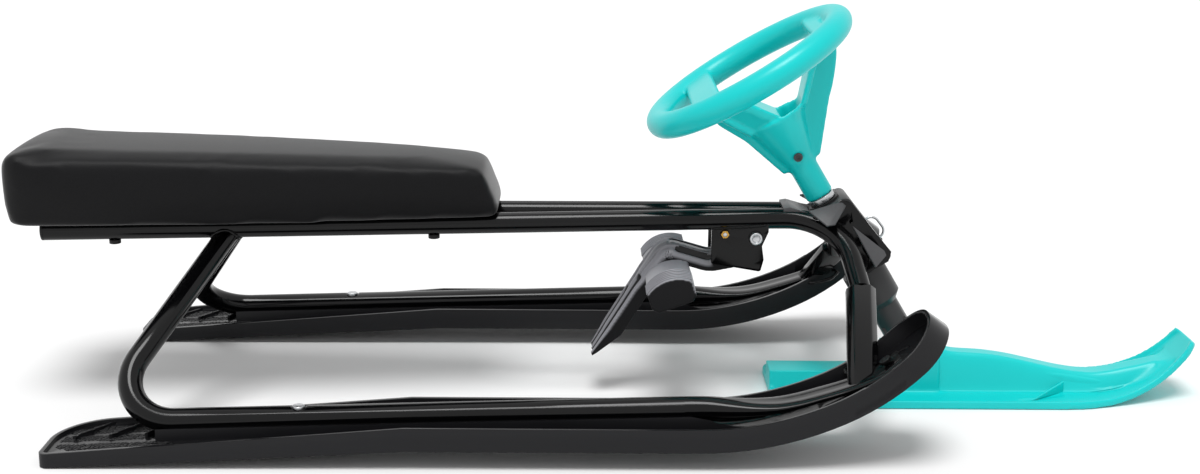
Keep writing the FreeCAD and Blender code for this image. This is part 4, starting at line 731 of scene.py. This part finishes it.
def makeCushion(s):
    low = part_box("seat_cushion")[0]
    work = bmesh.new()
    for vertex in nodes["seat_cushion"].data.vertices:
        work.verts.new(vertex.co)
    hull = bmesh.ops.convex_hull(work, input=work.verts)
    loose = {v for v in hull["geom_interior"] + hull["geom_unused"] if isinstance(v, bmesh.types.BMVert)}
    bmesh.ops.delete(work, geom=list(loose), context="VERTS")
    for vertex in work.verts:
        if vertex.co.z < seatLow(s, vertex.co.x) + s["hemFrom"] * mm:
            vertex.co.z -= s["hem"] * mm
        else:
            # the rear corners stand up a little
            share = max(0.0, 1.0 - (vertex.co.x - low[0]) / (s["rearReach"] * mm))
            vertex.co.z += s["rearRise"] * mm * share * share
            vertex.co.x -= s["rearOut"] * mm * share * share
    obj = reskin(objectFrom(work, "seatCushion"), s["voxel"], s["passes"])
    fillCushion(obj, s)
    obj.vertex_groups.clear()
    addSmoothing(obj, s["lastPasses"])
    addModifier(obj, "SUBSURF", {"levels": 1, "render_levels": 1})
    shadeSmooth(bakeModifiers(obj))
    finishPiece(obj, "seat_cushion", finishes["black_vinyl"], ("seat_cushion",))


makeCushion(cushion)
print("cushion filled")


# brake lever: a thick moulding whose top rolls over into its sides, in millimetres
# the line along its top is (x, z); shoulders are (station, width, drop) and grooves (from, to, y, half width, depth)
lever = {"line": ((112.0, 145.5), (88.0, 141.0), (43.0, 154.0), (-16.0, 70.0), (-22.5, 44.0)),
         "radii": (20.0, 20.0, 30.0), "bendSteps": 8, "overlap": 0.3, "half": 19.0, "depth": 16.0, "margin": 2.0,
         "still": 112.0, "fade": 14.0, "wall": 6.0, "voxel": 0.9, "passes": 4, "kneeEnd": 18, "tip": (-25.5, 43.5),
         "ease": 30.0, "point": 0.7, "pointFrom": 168.0, "softened": (52.0, 100.0), "softBelow": 3.0,
         "softPasses": 16, "lastPasses": 2,
         "shoulders": ((0.0, 17.0, 12.0), (85.0, 17.0, 12.0), (125.0, 8.0, 5.0), (210.0, 6.0, 3.0)),
         "grooves": ((20.0, 66.0, 7.5, 2.2, 2.6), (20.0, 60.0, 14.0, 1.9, 2.6), (108.0, 230.0, 13.0, 2.2, 4.5),
                     (128.0, 230.0, 5.5, 2.4, 5.0)),
         "grooveEnd": 6.0, "grooveSquare": 4, "etchedFrom": 0.3}
footPeg = {"voxel": 1.2, "passes": 4}


def leverSpans(s):
    # short steps along the top line with its bends rounded: start, run, length so far and the way out
    corners = [Vector(point) for point in s["line"]]
    shares = [i / s["bendSteps"] for i in range(s["bendSteps"] + 1)]
    line = [corners[0]]
    for before, corner, after, radius in zip(corners, corners[1:], corners[2:], s["radii"]):
        back, on = (before - corner).normalized(), (after - corner).normalized()
        reach = radius / math.tan(back.angle(on) / 2)
        a, b = corner + back * reach, corner + on * reach
        line += [a * (1 - t) ** 2 + corner * 2 * t * (1 - t) + b * t ** 2 for t in shares]
    line.append(corners[-1])
    spans, reached = [], 0.0
    for a, b in zip(line, line[1:]):
        along = b - a
        spans.append((a, along, reached, Vector((along.y, -along.x)).normalized()))
        reached += along.length
    return spans, reached


def nearestSpan(spans, place, overlap):
    # distance and offset from the top line, the way out, the way along and the station
    nearest = None
    for a, along, before, out in spans:
        share = (place - a).dot(along) / along.length_squared
        if -overlap < share < 1.0 + overlap:
            held = clamp(share)
            off = place - (a + along * held)
            if nearest is None or off.length < nearest[0]:
                nearest = (off.length, off, out, along.normalized(), before + held * along.length)
    return nearest


def shoulderDrop(s, station, x, y):
    # how far the top rolls down towards its sides; inside the bracket the cheeks stay as they are
    shoulder, drop = rampedRow(s["shoulders"], station)
    drop *= clamp((s["still"] - x) / s["fade"])
    edge = clamp((abs(y) - s["half"]) / shoulder + 1.0)
    return drop * (1.0 - math.sqrt(1.0 - edge ** 2))


def makeLever(s):
    obj = mouldedCopy("brake_lever", s["voxel"], s["passes"])
    spans, reached = leverSpans(s)
    knee, _, turnFrom, _ = spans[s["kneeEnd"]]
    shin = Vector(s["tip"]) - knee
    straight, stretch = shin.normalized(), shin.length / (reached - turnFrom)
    across = Vector((straight.y, -straight.x))
    dents, soft = [0.0] * len(obj.data.vertices), []
    for vertex in obj.data.vertices:
        place, y = vertex.co.xz / mm, vertex.co.y / mm
        nearest = nearestSpan(spans, place, s["overlap"])
        if nearest is None:
            continue
        _, off, out, ahead, station = nearest
        below = -off.dot(out)
        if below > s["depth"] + s["margin"]:
            continue
        moved = below
        if below < s["depth"]:
            lower = shoulderDrop(s, station, place.x, y)
            moved = lower + max(0.0, below) * (1.0 - lower / s["depth"]) + min(0.0, below)
        if below < s["wall"]:
            for first, last, middle, half, sink in s["grooves"]:
                ends = clamp(min(station - first, last - station) / s["grooveEnd"])
                dent = ends * max(0.0, 1.0 - (abs(abs(y) - middle) / half) ** s["grooveSquare"])
                moved += sink * dent
                dents[vertex.index] = max(dents[vertex.index], dent)
        if s["softened"][0] < station < s["softened"][1] and below > s["softBelow"]:
            soft.append(vertex.index)
        place = place - out * (moved - below)
        if station > turnFrom:
            # the shin runs straight down to the pointed claws
            moved *= 1.0 - s["point"] * clamp((station - s["pointFrom"]) / (reached - s["pointFrom"]))
            onShin = knee + straight * ((station - turnFrom) * stretch + off.dot(ahead)) - across * moved
            place = place.lerp(onShin, min(1.0, (station - turnFrom) / s["ease"]))
        vertex.co.x, vertex.co.z = place.x * mm, place.y * mm
    obj.vertex_groups.new(name="kneeSides").add(soft, 1.0, "REPLACE")
    addSmoothing(obj, s["softPasses"], "kneeSides")
    addSmoothing(obj, s["lastPasses"])
    shadeSmooth(bakeModifiers(obj))
    obj.vertex_groups.clear()
    finishPiece(obj, "brake_lever", leverPlasticPaintedTop, ("brake_lever",))
    # the grooves take the plain black of the sides, without the top's painted highlight: painted shade in the grooves
    obj.data.materials.append(finishes["black_moulding"])
    for polygon in obj.data.polygons:
        if sum(dents[i] for i in polygon.vertices) > s["etchedFrom"] * len(polygon.vertices):
            polygon.material_index = 1


makeLever(lever)
for node in ("foot_peg_left", "foot_peg_right"):
    finishPiece(mouldedCopy(node, footPeg["voxel"], footPeg["passes"]), node, leverPlasticPaintedTop, (node,))
print("brake moulded")


# wheel: one hollow moulding, its spokes running softly into the hub and rim
# the saddle's sections are its top, lip and deep edges, each (forward, height, half width) from the hub in millimetres
wheel = {"voxel": 1.5, "passes": 6, "lastPasses": 4, "head": (195.4, 197.5), "lean": 31.2, "rimHeight": 142.0,
         "rimRadius": 97.5, "rimTube": 13.0, "rimSkin": 0.4, "rimInset": 0.2, "rimSteps": (144, 28),
         "cupHeight": 80.0, "front": 14.0, "shift": 18.0, "span": 38.0, "still": 88.0,
         "saddle": (((5.0, 92.5, 28.4), (4.0, 86.0, 26.0), (0.0, 74.0, 16.0)),
                    ((-3.0, 103.0, 27.5), (-9.0, 98.0, 27.0), (-24.0, 84.0, 16.0)),
                    ((-13.0, 117.0, 26.5), (-18.5, 112.0, 26.0), (-36.0, 98.0, 16.0)),
                    ((-28.0, 131.0, 26.0), (-33.0, 125.0, 25.5), (-46.0, 115.0, 18.0)),
                    ((-50.0, 143.0, 26.0), (-54.0, 135.0, 25.0), (-57.0, 131.0, 20.0)))}


def makeWheel(s):
    obj = mouldedCopy("steering_wheel", s["voxel"], s["passes"])
    lean = math.radians(s["lean"])
    up, ahead = Vector((-math.sin(lean), math.cos(lean))), Vector((math.cos(lean), math.sin(lean)))
    head = Vector(s["head"])
    for vertex in obj.data.vertices:
        place = vertex.co.xz / mm - head
        height, forward = place.dot(up), place.dot(ahead)
        off = math.hypot(math.hypot(forward, vertex.co.y / mm) - s["rimRadius"], height - s["rimHeight"])
        if forward > s["front"] and off > s["rimTube"] + s["rimSkin"]:
            # the front spoke sweeps forward to the rim
            climb = clamp((height - s["cupHeight"]) / (s["rimHeight"] - s["cupHeight"]))
            move = s["shift"] * climb * clamp((s["still"] - forward) / s["span"]) * mm
            vertex.co.x += ahead.x * move
            vertex.co.z += ahead.y * move
    work = openMesh(obj.data)
    # the rim runs on whole behind the spoke's ends
    turns, around = s["rimSteps"]
    tube = s["rimTube"] - s["rimInset"]
    axis = Vector((up.x, 0.0, up.y))
    rings = []
    for turn in (math.tau * i / turns for i in range(turns)):
        out = Vector((ahead.x * math.cos(turn), math.sin(turn), ahead.y * math.cos(turn)))
        middle = Vector((head.x + up.x * s["rimHeight"], 0.0, head.y + up.y * s["rimHeight"])) + out * s["rimRadius"]
        rings.append([work.verts.new((middle + (out * math.cos(a) + axis * math.sin(a)) * tube) * mm)
                      for a in (math.tau * i / around for i in range(around))])
    joinRings(work, rings + rings[:1], capped=False)
    # the rear spoke's broad top falls into the cup as a saddle
    rings = []
    for top, lip, deep in s["saddle"]:
        corners = ((top, -1.0), (top, 1.0), (lip, 1.0), (deep, 1.0), (deep, -1.0), (lip, -1.0))
        rings.append([work.verts.new(Vector((head.x + ahead.x * forward + up.x * height, side * half,
                                             head.y + ahead.y * forward + up.y * height)) * mm)
                      for (forward, height, half), side in corners])
    joinRings(work, rings)
    closeMesh(work, obj.data)
    reskin(obj, s["voxel"], s["lastPasses"])
    finishPiece(obj, "steering_wheel", turquoise, ("steering_wheel",))


makeWheel(wheel)
print("wheel moulded")


# steering ski: soft edges, a rounded ridge, and shallow grooves pressed into the plate, in millimetres
# each groove is a line of (x, y), the ridge's top is (x, z)
ski = {"voxel": 1.5, "passes": 5, "lastPasses": 3, "plate": 4.5, "bend": 466.0, "bendRadius": 119.5,
       "depth": 1.3, "width": 2.4, "facing": 0.3,
       "grooves": (((392, 46), (414, 40), (436, 28)), ((470, 21), (500, 19), (532, 12)),
                   ((498, 40), (526, 32), (548, 20)), ((158, 54), (240, 54))),
       "ridge": ((306, 45.9), (320, 44.0), (335, 41.6), (361, 40.0), (380, 37.6), (395, 34.8), (421, 28.8),
                 (443, 24.2), (460, 21.9), (474, 21.4), (490, 23.4), (504, 26.5), (518, 29.6), (531, 33.0),
                 (545, 36.0), (552, 40.5)),
       "ridgeTop": 8.5, "ridgeFoot": 21.5, "ridgeStart": 20.0, "ridgeFacing": 0.05, "ridgeLow": 1.0,
       "rib": ((403, 46, 4.4), (441, 19, 4.4), (441, 19, 15.5)), "ribThickness": 2.2, "ribBevel": 0.8,
       "ribSegments": 3}


def skiPlate(s, x):
    # the plate's upper face: level, then one arc up to the tip
    if x < s["bend"]:
        return s["plate"]
    return s["plate"] + s["bendRadius"] - math.sqrt(s["bendRadius"] ** 2 - (x - s["bend"]) ** 2)


def makeSki(s):
    obj = mouldedCopy("front_ski", s["voxel"], s["passes"])
    lines = [[Vector((x * mm, y * side * mm)) for x, y in groove] for groove in s["grooves"] for side in (-1, 1)]
    spans = [(a, b) for line in lines for a, b in zip(line, line[1:])]
    depth, width = s["depth"] * mm, s["width"] * mm
    first, last = s["ridge"][0][0], s["ridge"][-1][0]
    normals = [vertex.normal.copy() for vertex in obj.data.vertices]
    for vertex, normal in zip(obj.data.vertices, normals):
        x, y, z = vertex.co.x / mm, abs(vertex.co.y) / mm, vertex.co.z / mm
        if first <= x <= last and normal.z > s["ridgeFacing"] and y < s["ridgeFoot"]:
            plate = skiPlate(s, x)
            if z > plate - s["ridgeLow"]:
                # the ridge is rounded over and runs out on the nose
                share = easeShare((s["ridgeFoot"] - y) / (s["ridgeFoot"] - s["ridgeTop"]))
                height = plate + max(0.0, easedRow(s["ridge"], x)[0] - plate) * share
                vertex.co.z += (height * mm - vertex.co.z) * min(1.0, (x - first) / s["ridgeStart"])
        if normal.z < s["facing"]:
            continue
        place = vertex.co.xy
        nearest = 3 * width
        for a, b in spans:
            share = clamp((place - a).dot(b - a) / (b - a).length_squared)
            nearest = min(nearest, (place - (a + (b - a) * share)).length)
        if nearest < 3 * width:
            vertex.co -= normal * (depth * math.exp(-((nearest / width) ** 2)))
    addSmoothing(obj, s["lastPasses"])
    shadeSmooth(bakeModifiers(obj))
    finishPiece(obj, "front_ski", turquoise, ("front_ski",))

    # one slanting rib each side, from the plate up to the ridge
    work = bmesh.new()
    for side in (-1, 1):
        corners = [mirrored(side, corner) for corner in s["rib"]]
        normal = (corners[1] - corners[0]).cross(corners[2] - corners[0]).normalized() * (s["ribThickness"] / 2 * mm)
        addPlate(work, [corner - normal for corner in corners], normal * 2)
    ribs = softenEdges(objectFrom(work, "frontSkiRibs"), s["ribBevel"], s["ribSegments"])
    finishPiece(shadeSmooth(ribs), "front_ski", turquoise)


makeSki(ski)
print("ski moulded")


# runners: moulded trays, with a pressed diamond pattern in the tail and ribs in the tip's pocket, in millimetres
# knurled fields are ((first x, last x), (bands of y)), and the sole is level, then two arcs up to the tip
runner = {"bevel": 1.4, "bevelFrom": 28.0, "segments": 3, "y": 185.0, "pitch": 3.4,
          "knurl": {"Size": 2.1, "Height": 0.9}, "lift": 60.0,
          "fields": (((-497.0, -392.0), ((-31.0, -12.0), (-4.0, 8.0), (15.0, 31.0))),
                     ((110.0, 200.0), ((-31.0, -22.0), (22.0, 31.0)))),
          "tail": {"x": -462.0, "reach": 44.0, "half": 36.0, "margin": 4.0},
          "tipLines": (((238, -27), (248, -24), (257, -15)), ((238, 27), (248, 24), (257, 15)),
                       ((250, -8), (257, -9))), "ribRadius": 1.3, "ribStep": 3.0, "ribLift": 300.0,
          "sole": {"x": 68.0, "z": 317.0, "radius": 300.0, "tipRadius": 230.0, "bend": 25.0},
          "rim": {"from": 200.0, "to": 246.0, "step": 2.0, "rise": 21.0, "foot": 3.0, "outer": 228.0, "inner": 224.0,
                  "endSunk": 0.3, "proud": 0.02, "corner": (0, 30, 60, 90)}}


def layOnTray(tree, start):
    # the given points dropped onto the tray's floor
    tray = addNode(tree, "GeometryNodeObjectInfo", {"Object": start["Tray"]}, {"transform_space": "RELATIVE"})
    ray = addNode(tree, "GeometryNodeRaycast", {"Target Geometry": tray.outputs["Geometry"],
                                                "Ray Direction": (0.0, 0.0, -1.0), "Ray Length": 1.0})
    laid = addNode(tree, "GeometryNodeSetPosition", {"Geometry": start["Geometry"],
                                                     "Position": ray.outputs["Hit Position"]})
    return laid.outputs[0], ray.outputs["Hit Normal"]


def makeKnurlTree():
    # small four-sided points on the tray's floor
    tree, start = newTree("pressedDiamonds", {"Tray": "Object", "Size": "Float", "Height": "Float"})
    laid, normal = layOnTray(tree, start)
    point = addNode(tree, "GeometryNodeMeshCone", {"Vertices": 4, "Radius Bottom": start["Size"], "Radius Top": 0.0,
                                                   "Depth": start["Height"]})
    turn = addNode(tree, "FunctionNodeAlignEulerToVector", {"Vector": normal}, {"axis": "Z"})
    grown = addNode(tree, "GeometryNodeInstanceOnPoints", {"Points": laid, "Instance": point.outputs["Mesh"],
                                                           "Rotation": turn.outputs[0]})
    return closeTree(tree, grown.outputs[0], start)


def makeRibTree():
    # round ribs along drawn lines, laid on the tray's floor
    tree, start = newTree("trayRibs", {"Tray": "Object", "Radius": "Float"})
    return addRibs(tree, start, layOnTray(tree, start)[0])


def knurlPoints(s, middle):
    points = []
    pitch, tail = s["pitch"], s["tail"]
    for (first, last), bands in s["fields"]:
        for low, high in bands:
            for row in range(int((high - low) / (pitch / 2)) + 1):
                for column in range(int((last - first) / pitch)):
                    x = first + (column + 0.5 * (row % 2)) * pitch
                    y = low + row * pitch / 2
                    # the tail is rounded in plan
                    past = max(0.0, (tail["x"] - x) / tail["reach"])
                    if abs(y) < tail["half"] * math.sqrt(max(0.0, 1.0 - past ** 2)) - tail["margin"]:
                        points.append((x * mm, (middle + y) * mm, s["lift"] * mm))
    return points


def runnerHeight(s, x, rise):
    # a height over the runner's sole
    bend, along = math.radians(s["bend"]), x - s["x"]
    if along <= (s["radius"] - rise) * math.sin(bend):
        return s["z"] - math.sqrt((s["radius"] - rise) ** 2 - max(0.0, along) ** 2)
    shorter = s["radius"] - s["tipRadius"]
    rest = math.sqrt((s["tipRadius"] - rise) ** 2 - (along - shorter * math.sin(bend)) ** 2)
    return s["z"] - shorter * math.cos(bend) - rest


def closeRim(tray, side, s):
    # the outer wall runs on at full height past the strut
    rim, soft = s["rim"], s["bevel"]
    corner = [(soft * math.cos(a), soft * math.sin(a)) for a in (math.radians(v) for v in rim["corner"])]
    work = openMesh(tray.data)
    rings = []
    count = round((rim["to"] - rim["from"]) / rim["step"])
    for i in range(count + 1):
        x = rim["from"] + i * rim["step"]
        sunk = rim["endSunk"] if i in (0, count) else -rim["proud"]
        outer, inner, top = rim["outer"] - sunk, rim["inner"] + sunk, rim["rise"] - sunk - soft
        profile = [(outer, rim["foot"]), *((outer - soft + c, top + u) for c, u in corner),
                   *((inner + soft - u, top + c) for c, u in corner), (inner, rim["foot"])]
        rings.append([work.verts.new((x * mm, side * y * mm, runnerHeight(s["sole"], x, rise) * mm))
                      for y, rise in profile])
    added = joinRings(work, rings)
    bmesh.ops.recalc_face_normals(work, faces=added)
    for face in added:
        face.smooth = True
    closeMesh(work, tray.data)


def makeRunners(s):
    knurls, ribs = makeKnurlTree(), makeRibTree()
    knurlSizes = {label: size * mm for label, size in s["knurl"].items()}
    for side, end in sides:
        node = "runner_" + end
        tray = smoothCopy(node, s["bevel"], s["bevelFrom"], s["segments"])
        closeRim(tray, side, s)
        finishPiece(tray, node, runnerPlastic, (node,))
        middle = side * s["y"]
        mesh = bpy.data.meshes.new(camelName(node) + "Knurl")
        mesh.from_pydata(knurlPoints(s, middle), [], [])
        growPiece(mesh, knurls, runnerPlastic, {"Tray": nodes[node], **knurlSizes}, node)
        lines = [[(p.x * mm, (middle + p.y) * mm, s["ribLift"] * mm) for p in spread(line, s["ribStep"])]
                 for line in s["tipLines"]]
        growPiece(lineMesh(camelName(node) + "TipRibs", lines), ribs, runnerPlastic,
                  {"Tray": nodes[node], "Radius": s["ribRadius"] * mm}, node)


makeRunners(runner)
print("runners moulded")


# foot pegs: ribs round the curved tread
treads = {"x": 48.0, "z": 122.0, "tilt": 20.0, "half": 22.0, "shoulder": 6.0, "crown": 8.0, "steps": 24,
          "first": 58.0, "pitch": 5.6, "count": 6, "radius": 1.15}


def makeTreadTree():
    # one arc repeated along the peg and given thickness
    tree, start = newTree("treadRibs", {"Count": "Int", "Pitch": "Vector", "Radius": "Float"})
    places = addNode(tree, "GeometryNodeMeshLine", {"Count": start["Count"], "Offset": start["Pitch"]})
    arcs = addNode(tree, "GeometryNodeInstanceOnPoints", {"Points": places.outputs[0], "Instance": start["Geometry"]})
    real = addNode(tree, "GeometryNodeRealizeInstances", {"Geometry": arcs.outputs[0]})
    return addRibs(tree, start, real.outputs[0])


def makeTreads(s):
    tree = makeTreadTree()
    tilt = math.radians(s["tilt"])
    # circle through the tread's ends and crown
    radius = (s["half"] ** 2 + s["crown"] ** 2) / (2 * s["crown"])
    reach = math.asin(s["half"] / radius)
    for side, end in sides:
        node = "foot_peg_" + end
        arc = []
        for angle in (reach * (2 * i / s["steps"] - 1) for i in range(s["steps"] + 1)):
            along = radius * math.sin(angle)
            up = s["shoulder"] + s["crown"] - radius + radius * math.cos(angle)
            arc.append(mirrored(side, (s["x"] + along * math.cos(tilt) - up * math.sin(tilt), s["first"],
                                       s["z"] + along * math.sin(tilt) + up * math.cos(tilt))))
        growPiece(lineMesh(camelName(node) + "Ribs", [arc]), tree, leverPlasticPaintedTop,
                  {"Count": s["count"], "Pitch": (0.0, side * s["pitch"] * mm, 0.0), "Radius": s["radius"] * mm}, node)


makeTreads(treads)
print("foot pegs ribbed")


# weld beads under the paint, where struts and bracket meet the rails; places in millimetres on the rider's left
welds = {"spacing": 1.9, "bead": 1.9, "beadSteps": (8, 5), "beadSizes": (0.75, 1.1), "turn": 6.28, "seed": 7,
         "fewest": 3,
         "rear": {"foot": (-470.0, 185.0, 27.2), "top": (-373.0, 36.6, 163.7), "radius": 11.3, "turn": 10,
                  "back": 60.0},
         "front": {"head": (225.5, 82.0, 125.0), "foot": (215.5, 176.0, 52.0), "step": 2.5,
                   "corners": ((14.5, 3.0), (14.5, -3.0), (8.0, -9.5), (-8.0, -9.5), (-14.5, -3.0), (-14.5, 3.0),
                               (-8.0, 9.5), (8.0, 9.5), (14.5, 3.0))},
         "plate": {"x": (92, 142, 3), "y": 23.2, "z": 150.0}}


def makeBeadTree(s):
    # overlapping flattened drops along a line, each a little different
    tree, start = newTree("weldBeads", {"Spacing": "Float", "Bead": "Float", "Seed": "Int"})
    line = addNode(tree, "GeometryNodeMeshToCurve", {"Mesh": start["Geometry"]})
    points = addNode(tree, "GeometryNodeResampleCurve", {"Curve": line.outputs[0], "Length": start["Spacing"]},
                     {"mode": "LENGTH"})
    segments, rings = s["beadSteps"]
    drop = addNode(tree, "GeometryNodeMeshUVSphere", {"Segments": segments, "Rings": rings, "Radius": start["Bead"]})
    small, large = s["beadSizes"]
    size = addNode(tree, "FunctionNodeRandomValue", {2: small, 3: large, "Seed": start["Seed"]},
                   {"data_type": "FLOAT"})
    turn = addNode(tree, "FunctionNodeRandomValue", {0: (0.0, 0.0, 0.0), 1: (s["turn"],) * 3, "Seed": start["Seed"]},
                   {"data_type": "FLOAT_VECTOR"})
    beads = addNode(tree, "GeometryNodeInstanceOnPoints",
                    {"Points": points.outputs[0], "Instance": drop.outputs["Mesh"], "Rotation": turn.outputs[0],
                     "Scale": size.outputs[1]})
    return closeTree(tree, beads.outputs[0], start)


def projectedRing(target, ring, way, back=0.0):
    # where lines along a strut's outline meet another node's surface
    surface = surfaceOf(target)
    hits = [surface.ray_cast(point - way * back, way)[0] for point in ring]
    return [hit for hit in hits if hit]


def makeWelds(s):
    rear, front, plate = s["rear"], s["front"], s["plate"]
    lines = []
    for side, end in sides:
        # rear strut's top end under the rail
        top = mirrored(side, rear["top"])
        way = (top - mirrored(side, rear["foot"])).normalized()
        across = way.orthogonal().normalized()
        above = way.cross(across)
        ring = [top + (across * math.cos(a) + above * math.sin(a)) * (rear["radius"] * mm)
                for a in (math.radians(v) for v in range(0, 361, rear["turn"]))]
        lines.append(projectedRing("top_rail_" + end, ring, way, rear["back"] * mm))
        # front strut's foot on the pressed rail
        foot = mirrored(side, front["foot"])
        way = (foot - mirrored(side, front["head"])).normalized()
        across = Vector((1.0, 0.0, 0.0))
        across = (across - way * across.dot(way)).normalized()
        above = way.cross(across)
        lines.append([slideToRail(foot + (across * p.x + above * p.y) * mm, way)
                      for p in spread(front["corners"], front["step"])])
        # brake bracket's side plate under the rail
        ring = [mirrored(side, (x, plate["y"], plate["z"])) for x in range(*plate["x"])]
        lines.append(projectedRing("top_rail_" + end, ring, Vector((0.0, 0.0, 1.0))))
    lines = [line for line in lines if len(line) > s["fewest"]]
    growPiece(lineMesh("weldBeads", lines), makeBeadTree(s), framePaint,
              {"Spacing": s["spacing"] * mm, "Bead": s["bead"] * mm, "Seed": s["seed"]}, "top_rail_left")


makeWelds(welds)
print("welds laid")

# the bolts near the runners' tips are blackened
runnerBolts = bpy.data.objects["runnerBolts"].data
runnerBolts.materials.append(boltCoat)
for face in runnerBolts.polygons:
    face.material_index = 1 if face.center.x > 0 else 0
print("bolts blackened")
